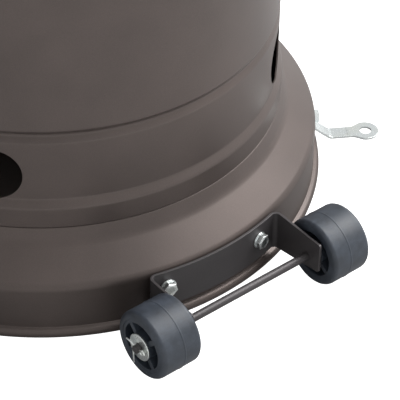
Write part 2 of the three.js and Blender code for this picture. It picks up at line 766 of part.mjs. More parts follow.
function neckBushing() {
  const outer = NECK_RADIUS - COVER_SHEET - GAP;
  const bore = POST_RADIUS + 1;
  return ring([
    point(bore, NECK_LOW + 8),
    point(outer, NECK_LOW + 8),
    point(outer, NECK_HIGH + GAP),
    point(NECK_RADIUS + 3, NECK_HIGH + GAP),
    point(NECK_RADIUS + 3, NECK_HIGH + 4),
    point(bore, NECK_HIGH + 4),
  ], MEDIUM_ROUND);
}

add("tank_cover", "bronze", tankCover());
add("cover_lid", "bronze", coverLid());
add("neck_bushing", "plastic", neckBushing());

// ---------------------------------------------------------------- post

// A flange with a socket; the socket runs up or down from the flange's far face.
function flange(face, direction) {
  const back = face + direction * FLANGE_THICKNESS;
  const end = back + direction * SOCKET_LENGTH;
  const bore = POST_RADIUS + GAP;
  return ring([
    point(FLANGE_HOLE, face),
    point(FLANGE_RADIUS, face),
    point(FLANGE_RADIUS, back),
    point(SOCKET_RADIUS, back),
    point(SOCKET_RADIUS, end),
    point(bore, end),
    point(bore, back),
    point(FLANGE_HOLE, back),
  ], MEDIUM_ROUND);
}

function postFoot() {
  const holes = UPRIGHT_AZIMUTHS.map(
    (azimuth) => vertical(azimuth, FLANGE_BOLT_RADIUS, M8.hole, UPRIGHT_TOP - 5, UPRIGHT_TOP + 15));
  return cut(flange(UPRIGHT_TOP + GAP, 1), ...holes);
}

function post() {
  const low = UPRIGHT_TOP + FLANGE_THICKNESS + 2 * GAP;
  return ring([
    point(POST_RADIUS - POST_WALL, low),
    point(POST_RADIUS, low),
    point(POST_RADIUS, POST_TOP),
    point(POST_RADIUS - POST_WALL, POST_TOP),
  ], MEDIUM_ROUND);
}

add("post_foot", "darkBronze", postFoot());
add("post", "bronze", post());
add("head_flange", "darkBronze", flange(HEAD_LOW - GAP, -1));

// ---------------------------------------------------------------- control housing

function controlHousing() {
  const edge = 8;
  const path = [
    point(FLANGE_HOLE, HEAD_LOW),
    ...arc(HEAD_RADIUS_LOW - edge, HEAD_LOW + edge, edge, -90, 0, 2),
    point(HEAD_RADIUS_HIGH, HEAD_HIGH - 12),
    point(HEAD_RADIUS_HIGH, HEAD_HIGH),
  ];
  return cut(
    ring(sheetOutline(path, HEAD_SHEET), MEDIUM_ROUND),
    radial(180, KNOB_HEIGHT, STEM_RADIUS + 2, 70, 120, SMALL_ROUND),
    radial(IGNITER_AZIMUTH, KNOB_HEIGHT, IGNITER_SLEEVE + 0.4, 70, 120, SMALL_ROUND),
  );
}

const VALVE_BLOCK = { width: 46, depth: 44, height: 52 };
const HOSE_END = 1656;

function gasValve() {
  const block = new THREE.BoxGeometry(VALVE_BLOCK.width, VALVE_BLOCK.depth, VALVE_BLOCK.height);
  const outlet = new THREE.Vector3(0, 0, KNOB_HEIGHT + VALVE_BLOCK.height / 2 - 1);
  const socket = new THREE.Vector3(0, 0, HOSE_END - 2);
  const body = closed(block.translate(0, 0, KNOB_HEIGHT));
  return cut(
    join(body, prism(10, HEAD_HIGH - outlet.z - GAP, SMALL_ROUND, outlet, UP)),
    prism(HOSE_RADIUS + 1, 2, HOLE_ROUND, socket, UP),
  );
}

function knobStem() {
  const start = new THREE.Vector3(0, VALVE_BLOCK.depth / 2 + GAP, KNOB_HEIGHT);
  return prism(STEM_RADIUS, STEM_END - start.y, SMALL_ROUND, start, FRONT);
}

// A fluted skirt with a raised grip bar; the stem's bore leaves room for the push.
function controlKnob() {
  const body = ring([
    point(STEM_RADIUS + GAP, KNOB_BACK),
    point(KNOB_RADIUS, KNOB_BACK),
    point(KNOB_RADIUS, KNOB_BACK + 8),
    point(KNOB_RADIUS - 5, KNOB_BACK + KNOB_LENGTH - 4),
    point(KNOB_RADIUS - 7, KNOB_BACK + KNOB_LENGTH),
    point(STEM_RADIUS + GAP, KNOB_BACK + KNOB_LENGTH),
  ], MEDIUM_ROUND).rotateX(-Math.PI / 2).translate(0, 0, KNOB_HEIGHT);
  const grip = new THREE.BoxGeometry(10, 12, 2 * KNOB_RADIUS - 4);
  grip.translate(0, KNOB_BACK + KNOB_LENGTH + 2.5, KNOB_HEIGHT);
  return join(body, closed(grip));
}

function igniterPiece(loop) {
  const turn = ring(loop, SMALL_ROUND);
  return aimed(turn, new THREE.Vector3(0, 0, KNOB_HEIGHT), along(IGNITER_AZIMUTH, 1, 0));
}

function igniterBezel() {
  return igniterPiece([
    point(IGNITER_RADIUS + 0.4, 66),
    point(IGNITER_SLEEVE, 66),
    point(IGNITER_SLEEVE, IGNITER_FACE),
    point(IGNITER_BEZEL_RADIUS, IGNITER_FACE),
    point(IGNITER_BEZEL_RADIUS, IGNITER_FACE + 3.5),
    point(IGNITER_RADIUS + 0.4, IGNITER_FACE + 3.5),
  ]);
}

function igniterButton() {
  const start = along(IGNITER_AZIMUTH, 76, KNOB_HEIGHT);
  return prism(IGNITER_RADIUS, 36, SMALL_ROUND, start, along(IGNITER_AZIMUTH, 1, 0));
}

add("control_housing", "bronze", controlHousing());
add("gas_valve", "brass", gasValve());
add("knob_stem", "zinc", knobStem());
add("control_knob", "plastic", controlKnob());
add("igniter_bezel", "plastic", igniterBezel());
add("igniter_button", "redPlastic", igniterButton());

// ---------------------------------------------------------------- burner and emitter

const DECK_LOW = HEAD_HIGH + GAP;
const DECK_HIGH = DECK_LOW + 2;
const CUP_LOW = DECK_HIGH + GAP;

function burnerDeck() {
  return turned([
    point(0, DECK_LOW),
    point(HEAD_RADIUS_HIGH + 2, DECK_LOW),
    point(HEAD_RADIUS_HIGH + 2, DECK_HIGH),
    point(0, DECK_HIGH),
  ], MEDIUM_ROUND);
}

function burnerCup() {
  const radius = 44;
  return turned([
    point(0, CUP_LOW),
    point(radius - 12, CUP_LOW),
    point(radius, CUP_LOW + 20),
    point(radius, CUP_LOW + 42),
    point(radius - 8, CUP_LOW + 48),
    point(0, CUP_LOW + 54),
  ], MEDIUM_ROUND);
}

function emitterScreen() {
  const lean = (EMITTER_HIGH_RADIUS - EMITTER_LOW_RADIUS) / (EMITTER_HIGH - CUP_LOW);
  const path = [
    point(EMITTER_LOW_RADIUS + 6, CUP_LOW),
    point(EMITTER_LOW_RADIUS, CUP_LOW + 4),
    point(EMITTER_LOW_RADIUS + lean * 16, CUP_LOW + 20),
    point(EMITTER_HIGH_RADIUS, EMITTER_HIGH),
  ];
  return ring(sheetOutline(path, -HEAD_SHEET), MEDIUM_ROUND);
}

function emitterTop() {
  const low = EMITTER_HIGH + GAP;
  return turned([
    point(0, low),
    point(EMITTER_HIGH_RADIUS + 2.5, low),
    point(EMITTER_HIGH_RADIUS + 2.5, low - 12),
    point(EMITTER_HIGH_RADIUS + 4, low - 12),
    point(EMITTER_HIGH_RADIUS + 4, low + 1.5),
    point(0, low + 1.5),
  ], MEDIUM_ROUND);
}

add("burner_deck", "stainless", burnerDeck());
add("burner_cup", "stainless", burnerCup());
add("pilot_burner", "stainless", vertical(150, 64, 5, CUP_LOW, CUP_LOW + 46));
add("thermocouple", "brass", vertical(168, 66, 2.5, CUP_LOW, CUP_LOW + 58));
add("emitter_screen", "stainless", emitterScreen());
add("emitter_top", "stainless", emitterTop());

// ---------------------------------------------------------------- reflector

const STUD_LOW = EMITTER_HIGH + GAP + 1.5 + GAP;
const STUD_SHOULDER = REFLECTOR_TOP - REFLECTOR_SHEET - GAP;
const STUD_TOP = REFLECTOR_TOP + 18;
const STUD_THREAD = 2.9;

function reflectorStud() {
  return turned([
    point(0, STUD_LOW),
    point(6, STUD_LOW),
    point(6, STUD_SHOULDER),
    point(STUD_THREAD, STUD_SHOULDER),
    point(STUD_THREAD, STUD_TOP),
    point(0, STUD_TOP),
  ], 12).translate(0, -STUD_CIRCLE, 0);
}

function wingNut() {
  const low = REFLECTOR_TOP + GAP;
  const hub = ring([
    point(STUD_THREAD + GAP, low),
    point(7, low),
    point(5.5, low + 10),
    point(STUD_THREAD + GAP, low + 10),
  ], 12);
  const wings = [-1, 1].map((side) => {
    const wing = new THREE.BoxGeometry(11, 2.4, 12);
    return closed(wing.rotateY(side * -0.35).translate(side * 10.5, 0, low + 10));
  });
  return join(hub, ...wings).translate(0, -STUD_CIRCLE, 0);
}

function reflector() {
  const flat = 112;
  const span = REFLECTOR_RADIUS - flat;
  const drop = REFLECTOR_TOP - REFLECTOR_RIM_HEIGHT - 8;
  const dome = [];
  for (let i = 0; i <= 4; i += 1) {
    const share = i / 4;
    dome.push(point(flat + share * (span - 6), REFLECTOR_TOP - drop * share ** 1.35));
  }
  const path = [
    point(0, REFLECTOR_TOP),
    ...dome,
    point(REFLECTOR_RADIUS, REFLECTOR_RIM_HEIGHT + 5),
    point(REFLECTOR_RADIUS, REFLECTOR_RIM_HEIGHT),
  ];
  const holes = STUD_AZIMUTHS.map(
    (azimuth) => vertical(azimuth, STUD_CIRCLE, STUD_THREAD + GAP, REFLECTOR_TOP - 8, REFLECTOR_TOP + 8));
  return cut(turned(sheetOutline(path, -REFLECTOR_SHEET)), ...holes);
}

STUD_AZIMUTHS.forEach((azimuth, i) => {
  add(`reflector_stud_${i + 1}`, "zinc", reflectorStud(), azimuth);
  add(`wing_nut_${i + 1}`, "zinc", wingNut(), azimuth);
});
add("reflector", "aluminium", reflector());

export default heater;
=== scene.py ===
"""Free-standing gas patio heater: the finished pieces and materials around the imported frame.

Metres, +Z up, the origin on the ground at the centre of the base.
Azimuths are degrees about Z, 0 towards the wheels at -Y and 90 towards +X.
"""

import json
import math

import bmesh
import bpy
from mathutils import Matrix, Vector


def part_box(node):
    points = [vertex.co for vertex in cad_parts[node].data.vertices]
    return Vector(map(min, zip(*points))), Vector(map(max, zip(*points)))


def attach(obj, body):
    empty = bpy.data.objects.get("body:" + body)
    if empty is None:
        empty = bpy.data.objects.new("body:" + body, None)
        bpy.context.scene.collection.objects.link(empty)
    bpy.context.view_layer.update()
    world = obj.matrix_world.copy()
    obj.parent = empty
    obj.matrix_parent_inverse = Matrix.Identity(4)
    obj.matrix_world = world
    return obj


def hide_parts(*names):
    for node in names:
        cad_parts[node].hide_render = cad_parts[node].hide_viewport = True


bl_info = {
    "name": "Patio Heater",
    "version": (1, 0, 0),
    "blender": (4, 5, 0),
    "location": "View3D > Sidebar > Heater",
    "description": "Builds the finished pieces of a gas patio heater around its frame",
    "category": "Add Mesh",
}

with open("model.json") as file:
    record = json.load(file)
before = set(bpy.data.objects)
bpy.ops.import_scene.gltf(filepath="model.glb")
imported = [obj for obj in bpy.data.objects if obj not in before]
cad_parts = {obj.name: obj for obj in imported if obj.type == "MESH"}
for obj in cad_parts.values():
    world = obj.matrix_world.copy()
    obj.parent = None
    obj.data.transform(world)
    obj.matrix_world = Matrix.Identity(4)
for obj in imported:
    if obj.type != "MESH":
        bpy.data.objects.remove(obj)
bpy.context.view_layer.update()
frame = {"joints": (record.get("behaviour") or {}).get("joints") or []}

UP = Vector((0, 0, 1))
FRONT = Vector((0, 1, 0))
ACROSS = Vector((1, 0, 0))


# ------------------------------------------------------------------ places from the frame

def low(node):
    """The lowest corner of a node's box."""
    return Vector(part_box(node)[0])


def high(node):
    """The highest corner of a node's box."""
    return Vector(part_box(node)[1])


def middle(node):
    return (low(node) + high(node)) / 2


def reach(node):
    """Half of a round node's width."""
    return (high(node).x - low(node).x) / 2


def polar(azimuth, distance, height=0.0):
    turn = math.radians(azimuth)
    return Vector((distance * math.sin(turn), -distance * math.cos(turn), height))


def azimuth_of(place):
    return math.degrees(math.atan2(place.x, -place.y))


def joint_pos(name):
    return Vector(next(joint["pos_m"] for joint in frame["joints"] if joint["name"] == name))


# ------------------------------------------------------------------ sizes and colours

class HeaterShape(bpy.types.PropertyGroup):
    """Sizes of the details that the frame doesn't hold."""

    rim_roll: bpy.props.FloatProperty(
        name="Rim roll", description="Radius of the base's rolled edge",
        default=0.0045, min=0.002, unit="LENGTH")
    skirt_reach: bpy.props.FloatProperty(
        name="Skirt radius", description="Radius of the base's upright skirt",
        default=0.2249, unit="LENGTH")
    skirt_top: bpy.props.FloatProperty(
        name="Skirt top", description="Height where the skirt turns into the shoulder",
        default=0.0455, unit="LENGTH")
    band_step: bpy.props.FloatProperty(
        name="Cover band", description="How far the cover's bottom band stands out",
        default=0.0042, unit="LENGTH")
    bead_depth: bpy.props.FloatProperty(
        name="Bead depth", description="Depth of the cover's stiffening grooves",
        default=0.0027, unit="LENGTH")
    vent_radius: bpy.props.FloatProperty(
        name="Vent radius", description="Radius of each round vent in the cover",
        default=0.0232, unit="LENGTH")
    spokes: bpy.props.IntProperty(
        name="Wheel spokes", description="Spokes on each side of a wheel", default=4, min=3, max=8)


class HeaterColours(bpy.types.PropertyGroup):
    """Main colours of the finishes."""

    bronze: bpy.props.FloatVectorProperty(
        name="Bronze", description="Base coat of the painted sheet", subtype="COLOR",
        size=4, default=(0.089, 0.071, 0.065, 1.0))
    dark_bronze: bpy.props.FloatVectorProperty(
        name="Dark bronze", description="Coat of the brackets and the axle", subtype="COLOR",
        size=4, default=(0.058, 0.053, 0.055, 1.0))
    wheel: bpy.props.FloatVectorProperty(
        name="Wheel", description="Moulded wheels", subtype="COLOR",
        size=4, default=(0.028, 0.035, 0.047, 1.0))
    floor: bpy.props.FloatVectorProperty(
        name="Floor", description="Studio floor and backdrop", subtype="COLOR",
        size=4, default=(0.80, 0.80, 0.80, 1.0))


def shape_sizes():
    return bpy.context.scene.heater_shape


def colours():
    return bpy.context.scene.heater_colours


# ------------------------------------------------------------------ node helpers

def place(tree, kind, inputs=None, **settings):
    """Adds a node, sets its options, and sets or links its inputs by socket name or number."""
    made = tree.nodes.new(kind)
    for name, value in settings.items():
        setattr(made, name, value)
    for socket, value in (inputs or {}).items():
        if isinstance(value, bpy.types.NodeSocket):
            tree.links.new(value, made.inputs[socket])
        else:
            made.inputs[socket].default_value = value
    return made


def effect(name, inputs, outputs):
    """A new shader node group with named float inputs and outputs."""
    tree = bpy.data.node_groups.new(name, "ShaderNodeTree")
    for label, default in inputs.items():
        kind = "NodeSocketColor" if isinstance(default, tuple) else "NodeSocketFloat"
        tree.interface.new_socket(name=label, in_out="INPUT", socket_type=kind).default_value = default
    for label, kind in outputs.items():
        tree.interface.new_socket(name=label, in_out="OUTPUT", socket_type=kind)
    return tree, tree.nodes.new("NodeGroupInput"), tree.nodes.new("NodeGroupOutput")


def use(tree, group, inputs=None):
    made = tree.nodes.new("ShaderNodeGroup")
    made.node_tree = group
    for socket, value in (inputs or {}).items():
        if isinstance(value, bpy.types.NodeSocket):
            tree.links.new(value, made.inputs[socket])
        else:
            made.inputs[socket].default_value = value
    return made


def noise(tree, where, scale, detail=3.0, roughness=0.55):
    return place(tree, "ShaderNodeTexNoise",
                 {"Vector": where, "Scale": scale, "Detail": detail, "Roughness": roughness})


def between(tree, value, low_in, high_in, low_out=0.0, high_out=1.0):
    made = place(tree, "ShaderNodeMapRange",
                 {"Value": value, "From Min": low_in, "From Max": high_in,
                  "To Min": low_out, "To Max": high_out})
    return made.outputs["Result"]


def sums(tree, operation, first, second):
    return place(tree, "ShaderNodeMath", {0: first, 1: second}, operation=operation).outputs[0]


def blended(tree, share, first, second):
    made = place(tree, "ShaderNodeMix", data_type="RGBA")
    for socket, value in ((0, share), (6, first), (7, second)):
        if isinstance(value, bpy.types.NodeSocket):
            tree.links.new(value, made.inputs[socket])
        else:
            made.inputs[socket].default_value = value
    return made.outputs[2]


# ------------------------------------------------------------------ shared effects

def make_orange_peel():
    """The soft ripple and fine tooth of a sprayed or powder coat."""
    tree, inside, outside = effect(
        "Orange Peel", {"Ripple Scale": 420.0, "Tooth Scale": 1700.0, "Tooth Share": 0.35},
        {"Height": "NodeSocketFloat", "Mottle": "NodeSocketFloat"})
    where = place(tree, "ShaderNodeTexCoord").outputs["Object"]
    ripple = noise(tree, where, inside.outputs["Ripple Scale"], 2.0)
    tooth = noise(tree, where, inside.outputs["Tooth Scale"], 2.0)
    broad = noise(tree, where, 9.0, 3.0)
    scaled = sums(tree, "MULTIPLY", tooth.outputs["Fac"], inside.outputs["Tooth Share"])
    height = sums(tree, "ADD", ripple.outputs["Fac"], scaled)
    tree.links.new(height, outside.inputs["Height"])
    mottle = sums(tree, "ADD", sums(tree, "MULTIPLY", tooth.outputs["Fac"], 0.4),
                  sums(tree, "MULTIPLY", broad.outputs["Fac"], 0.6))
    tree.links.new(mottle, outside.inputs["Mottle"])
    return tree


def make_scuffs():
    """Thin random scratches and rub marks, 0 where the surface is untouched."""
    tree, inside, outside = effect(
        "Scuffs", {"Scale": 60.0, "Stretch": 8.0, "Amount": 0.5}, {"Mask": "NodeSocketFloat"})
    where = place(tree, "ShaderNodeTexCoord").outputs["Object"]
    stretch = place(tree, "ShaderNodeCombineXYZ", {"X": inside.outputs["Stretch"], "Y": 1.0, "Z": 1.0})
    drawn = place(tree, "ShaderNodeVectorMath", {0: where, 1: stretch.outputs[0]}, operation="MULTIPLY")
    lines = noise(tree, drawn.outputs[0], inside.outputs["Scale"], 6.0, 0.7)
    thin = between(tree, lines.outputs["Fac"], 0.56, 0.68)
    patches = noise(tree, where, 35.0, 2.0)
    gate = between(tree, patches.outputs["Fac"], 0.36, 0.62)
    smears = between(tree, noise(tree, where, 230.0, 4.0, 0.7).outputs["Fac"], 0.48, 0.74, 0.0, 0.7)
    marks = sums(tree, "MAXIMUM", sums(tree, "MULTIPLY", thin, gate), sums(tree, "MULTIPLY", smears, gate))
    mask = sums(tree, "MULTIPLY", marks, inside.outputs["Amount"])
    tree.links.new(mask, outside.inputs["Mask"])
    return tree


def make_ground_dust():
    """A faint film of dust that fades out above the ground."""
    tree, inside, outside = effect("Ground Dust", {"Height": 0.06, "Amount": 0.2}, {"Mask": "NodeSocketFloat"})
    where = place(tree, "ShaderNodeTexCoord").outputs["Object"]
    height = place(tree, "ShaderNodeSeparateXYZ", {0: where}).outputs["Z"]
    share = sums(tree, "DIVIDE", height, inside.outputs["Height"])
    fade = between(tree, share, 0.0, 1.0, 1.0, 0.0)
    cloud = between(tree, noise(tree, where, 26.0, 5.0).outputs["Fac"], 0.35, 0.75)
    mask = sums(tree, "MULTIPLY", sums(tree, "MULTIPLY", fade, cloud), inside.outputs["Amount"])
    tree.links.new(mask, outside.inputs["Mask"])
    return tree


def make_turned_rings():
    """Fine circular lines round Z, as a spinning or turning tool leaves them."""
    tree, inside, outside = effect("Turned Rings", {"Pitch": 0.0016}, {"Height": "NodeSocketFloat"})
    where = place(tree, "ShaderNodeTexCoord").outputs["Object"]
    flat = place(tree, "ShaderNodeVectorMath", {0: where, 1: (1.0, 1.0, 0.0)}, operation="MULTIPLY")
    distance = place(tree, "ShaderNodeVectorMath", {0: flat.outputs[0]}, operation="LENGTH")
    rings = sums(tree, "DIVIDE", distance.outputs["Value"], inside.outputs["Pitch"])
    wobble = noise(tree, where, 30.0, 2.0)
    phase = sums(tree, "ADD", rings, wobble.outputs["Fac"])
    wave = place(tree, "ShaderNodeTexNoise", {"W": phase, "Scale": 1.0, "Detail": 2.0},
                 noise_dimensions="1D")
    tree.links.new(wave.outputs["Fac"], outside.inputs["Height"])
    return tree


EFFECTS = {}


def shared(name):
    makers = {"peel": make_orange_peel, "scuffs": make_scuffs, "dust": make_ground_dust,
              "rings": make_turned_rings}
    if name not in EFFECTS:
        EFFECTS[name] = makers[name]()
    return EFFECTS[name]


# ------------------------------------------------------------------ materials

MATERIALS = {}


def new_material(name, **constants):
    """A material whose Principled shader has the given constant inputs."""
    material = bpy.data.materials.new(name)
    material.use_nodes = True
    tree = material.node_tree
    shader = tree.nodes["Principled BSDF"]
    for socket, value in constants.items():
        shader.inputs[socket.replace("_", " ")].default_value = value
    return material, tree, shader


def bumped(tree, shader, height, distance, strength=1.0):
    bump = place(tree, "ShaderNodeBump", {"Height": height, "Distance": distance, "Strength": strength})
    tree.links.new(bump.outputs["Normal"], shader.inputs["Normal"])


def painted(name, colour, metallic, roughness, dust=0.03):
    """Sprayed coat with a mottled pigment, orange peel, and a film of dust by the ground."""
    material, tree, shader = new_material(name, Metallic=metallic)
    peel = use(tree, shared("peel"))
    base = Vector(colour[:3])
    dark = (*(base * 0.84), 1.0)
    light = (*(base * 1.17), 1.0)
    pigment = blended(tree, between(tree, peel.outputs["Mottle"], 0.38, 0.62), dark, light)
    film = use(tree, shared("dust"), {"Amount": dust})
    coated = blended(tree, film.outputs["Mask"], pigment, (0.34, 0.32, 0.30, 1.0))
    tree.links.new(coated, shader.inputs["Base Color"])
    gloss = between(tree, peel.outputs["Mottle"], 0.35, 0.65, roughness - 0.03, roughness + 0.03)
    rough = sums(tree, "ADD", gloss, sums(tree, "MULTIPLY", film.outputs["Mask"], 0.4))
    tree.links.new(rough, shader.inputs["Roughness"])
    bumped(tree, shader, peel.outputs["Height"], 0.00005, 0.7)
    return material


def plated(name, colour, roughness, scale=900.0):
    """Bright plating with fine grain, faint passivation colour and a few rubs."""
    material, tree, shader = new_material(name, Metallic=1.0)
    where = place(tree, "ShaderNodeTexCoord").outputs["Object"]
    grain = noise(tree, where, scale, 4.0)
    tint = noise(tree, where, 45.0, 3.0)
    base = Vector(colour[:3])
    cool = (*(base * 0.97), 1.0)
    warm = (base.x * 1.0, base.y * 0.98, base.z * 0.93, 1.0)
    hue = blended(tree, between(tree, tint.outputs["Fac"], 0.4, 0.65), cool, warm)
    rubs = use(tree, shared("scuffs"), {"Scale": 240.0, "Stretch": 3.0, "Amount": 0.35})
    tree.links.new(blended(tree, rubs.outputs["Mask"], hue, (*(base * 0.6), 1.0)), shader.inputs["Base Color"])
    rough = between(tree, grain.outputs["Fac"], 0.3, 0.7, roughness - 0.06, roughness + 0.08)
    tree.links.new(rough, shader.inputs["Roughness"])
    bumped(tree, shader, grain.outputs["Fac"], 0.00004, 0.6)
    return material


def moulded(name, colour, roughness, tooth=1500.0, marks=0.25):
    """Moulded plastic or rubber with a fine tooth and light rub marks."""
    material, tree, shader = new_material(name, Metallic=0.0)
    where = place(tree, "ShaderNodeTexCoord").outputs["Object"]
    base = Vector(colour[:3])
    cloud = noise(tree, where, 70.0, 5.0, 0.65)
    body = blended(tree, between(tree, cloud.outputs["Fac"], 0.35, 0.7),
                   (*(base * 0.72), 1.0), (*(base * 1.32), 1.0))
    rubs = use(tree, shared("scuffs"), {"Scale": 90.0, "Stretch": 0.25, "Amount": marks})
    pale = (*(base * 2.0 + Vector((0.02, 0.02, 0.02))), 1.0)
    tree.links.new(blended(tree, rubs.outputs["Mask"], body, pale), shader.inputs["Base Color"])
    fine = noise(tree, where, tooth, 2.0)
    rough = sums(tree, "ADD", between(tree, cloud.outputs["Fac"], 0.3, 0.7, roughness - 0.05, roughness + 0.06),
                 sums(tree, "MULTIPLY", rubs.outputs["Mask"], 0.3))
    tree.links.new(rough, shader.inputs["Roughness"])
    bumped(tree, shader, fine.outputs["Fac"], 0.00006, 0.7)
    return material


def spun_metal(name, colour, roughness, pitch):
    """Sheet with circular tool lines and a little staining."""
    material, tree, shader = new_material(name, Metallic=1.0)
    where = place(tree, "ShaderNodeTexCoord").outputs["Object"]
    rings = use(tree, shared("rings"), {"Pitch": pitch})
    stain = noise(tree, where, 12.0, 5.0)
    base = Vector(colour[:3])
    hue = blended(tree, between(tree, stain.outputs["Fac"], 0.35, 0.7), (*(base * 0.9), 1.0), (*base, 1.0))
    tree.links.new(hue, shader.inputs["Base Color"])
    rough = between(tree, rings.outputs["Height"], 0.3, 0.7, roughness - 0.05, roughness + 0.07)
    tree.links.new(rough, shader.inputs["Roughness"])
    bumped(tree, shader, rings.outputs["Height"], 0.00005, 0.6)
    return material


def burnt_steel():
    """Stainless screen, straw and blue from heat towards the top."""
    material, tree, shader = new_material("heated_stainless", Metallic=1.0)
    where = place(tree, "ShaderNodeTexCoord").outputs["Object"]
    height = place(tree, "ShaderNodeSeparateXYZ", {0: where}).outputs["Z"]
    cloud = noise(tree, where, 16.0, 4.0)
    heat = sums(tree, "ADD", between(tree, height, low("emitter_screen").z, high("emitter_top").z),
                between(tree, cloud.outputs["Fac"], 0.3, 0.7, -0.18, 0.18))
    ramp = place(tree, "ShaderNodeValToRGB", {"Fac": heat})
    stops = ramp.color_ramp.elements
    stops[0].color = (0.52, 0.51, 0.49, 1.0)
    stops[1].color = (0.30, 0.27, 0.27, 1.0)
    for at, colour in ((0.45, (0.50, 0.44, 0.33, 1.0)), (0.72, (0.38, 0.28, 0.24, 1.0)),
                       (0.88, (0.24, 0.25, 0.33, 1.0))):
        stops.new(at).color = colour
    tree.links.new(ramp.outputs["Color"], shader.inputs["Base Color"])
    grain = noise(tree, where, 800.0, 3.0)
    tree.links.new(between(tree, grain.outputs["Fac"], 0.3, 0.7, 0.3, 0.42), shader.inputs["Roughness"])
    bumped(tree, shader, grain.outputs["Fac"], 0.00003, 0.5)
    return material


def webbing():
    """Woven strap: a fine diagonal weave round the bottle."""
    material, tree, shader = new_material("strap_webbing", Metallic=0.0)
    where = place(tree, "ShaderNodeTexCoord").outputs["Object"]
    parts = place(tree, "ShaderNodeSeparateXYZ", {0: where})
    turn = sums(tree, "ARCTAN2", parts.outputs["X"], parts.outputs["Y"])
    warp = place(tree, "ShaderNodeMath", {0: sums(tree, "MULTIPLY", turn, 420.0)}, operation="SINE")
    weft = place(tree, "ShaderNodeMath", {0: sums(tree, "MULTIPLY", parts.outputs["Z"], 2600.0)},
                 operation="SINE")
    weave = sums(tree, "MULTIPLY", warp.outputs[0], weft.outputs[0])
    tree.links.new(blended(tree, between(tree, weave, -1.0, 1.0), (0.010, 0.010, 0.011, 1.0),
                           (0.035, 0.035, 0.037, 1.0)), shader.inputs["Base Color"])
    tree.links.new(between(tree, weave, -1.0, 1.0, 0.75, 0.55), shader.inputs["Roughness"])
    bumped(tree, shader, weave, 0.0002, 0.6)
    return material


def material(name):
    makers = {
        "bronze": lambda: painted("bronze_coat", colours().bronze, 0.55, 0.45),
        "dark_bronze": lambda: painted("dark_bronze_coat", colours().dark_bronze, 0.4, 0.42),
        "bottle": lambda: painted("bottle_paint", (0.55, 0.56, 0.54), 0.0, 0.38),
        "zinc": lambda: plated("zinc_plate", (0.86, 0.90, 0.90), 0.30),
        "tab_zinc": lambda: plated("tab_zinc_plate", (0.88, 0.93, 0.93), 0.22),
        "cast": lambda: plated("cast_zinc", (0.50, 0.50, 0.49), 0.42, 500.0),
        "brass": lambda: plated("turned_brass", (0.62, 0.45, 0.20), 0.30),
        "wheel": lambda: moulded("wheel_moulding", colours().wheel, 0.46, 1500.0, 0.45),
        "black": lambda: moulded("black_moulding", (0.016, 0.016, 0.017), 0.45),
        "red": lambda: moulded("red_moulding", (0.30, 0.02, 0.016), 0.35),
        "hose": lambda: moulded("hose_rubber", (0.014, 0.014, 0.015), 0.5, 700.0, 0.15),
        "ivory": lambda: moulded("pad_print", (0.7, 0.69, 0.65), 0.5, 2000.0, 0.05),
        "steel": lambda: plated("stainless_sheet", (0.56, 0.55, 0.53), 0.30, 700.0),
        "aluminium": lambda: spun_metal("spun_aluminium", (0.78, 0.78, 0.79), 0.24, 0.0018),
        "heated": burnt_steel,
        "webbing": webbing,
    }
    if name not in MATERIALS:
        MATERIALS[name] = makers[name]()
    return MATERIALS[name]


# ------------------------------------------------------------------ outlines

def softened(corners, steps=5):
    """A path of (x, y) or (x, y, radius) corners in which each radius becomes an arc."""
    path = []
    for i, corner in enumerate(corners):
        here = Vector(corner[:2])
        radius = corner[2] if len(corner) > 2 else 0.0
        if radius <= 0.0:
            path.append(here)
            continue
        back = (Vector(corners[i - 1][:2]) - here).normalized()
        ahead = (Vector(corners[(i + 1) % len(corners)][:2]) - here).normalized()
        half = back.angle(ahead) / 2
        centre = here + (back + ahead).normalized() * (radius / math.sin(half))
        start = (here + back * (radius / math.tan(half)) - centre).normalized()
        end = (here + ahead * (radius / math.tan(half)) - centre).normalized()
        path.extend(centre + start.slerp(end, k / steps) * radius for k in range(steps + 1))
    return path


def arc(centre, radius, start, end, steps):
    """Points on a circle in a plane, between two angles in degrees."""
    angles = [math.radians(start + (end - start) * k / steps) for k in range(steps + 1)]
    return [Vector((centre[0] + radius * math.cos(a), centre[1] + radius * math.sin(a))) for a in angles]


def walled(path, thickness):
    """A closed outline for sheet whose thickness lies to the left of its path."""
    sides = []
    for first, second in zip(path, path[1:]):
        run = (second - first).normalized()
        sides.append(Vector((-run.y, run.x)))
    back = []
    for i, here in enumerate(path):
        before = sides[max(i - 1, 0)]
        after = sides[min(i, len(sides) - 1)]
        mitre = (before + after).normalized()
        moved = here + mitre * (thickness / mitre.dot(before))
        if here.x == 0.0:
            moved.x = 0.0
        back.append(moved)
    return list(path) + back[::-1]


# ------------------------------------------------------------------ mesh makers

def spun(profile, steps, closed=True):
    """A mesh turned about Z from (distance, height) points."""
    mesh = bmesh.new()
    corners = [mesh.verts.new((x, 0.0, z)) for x, z in profile]
    edges = [mesh.edges.new(pair) for pair in zip(corners, corners[1:])]
    if closed:
        edges.append(mesh.edges.new((corners[-1], corners[0])))
    bmesh.ops.spin(mesh, geom=corners + edges, axis=UP, cent=(0, 0, 0), angle=2 * math.pi,
                   steps=steps, use_merge=True)
    bmesh.ops.remove_doubles(mesh, verts=mesh.verts, dist=1e-6)
    bmesh.ops.recalc_face_normals(mesh, faces=mesh.faces)
    return mesh


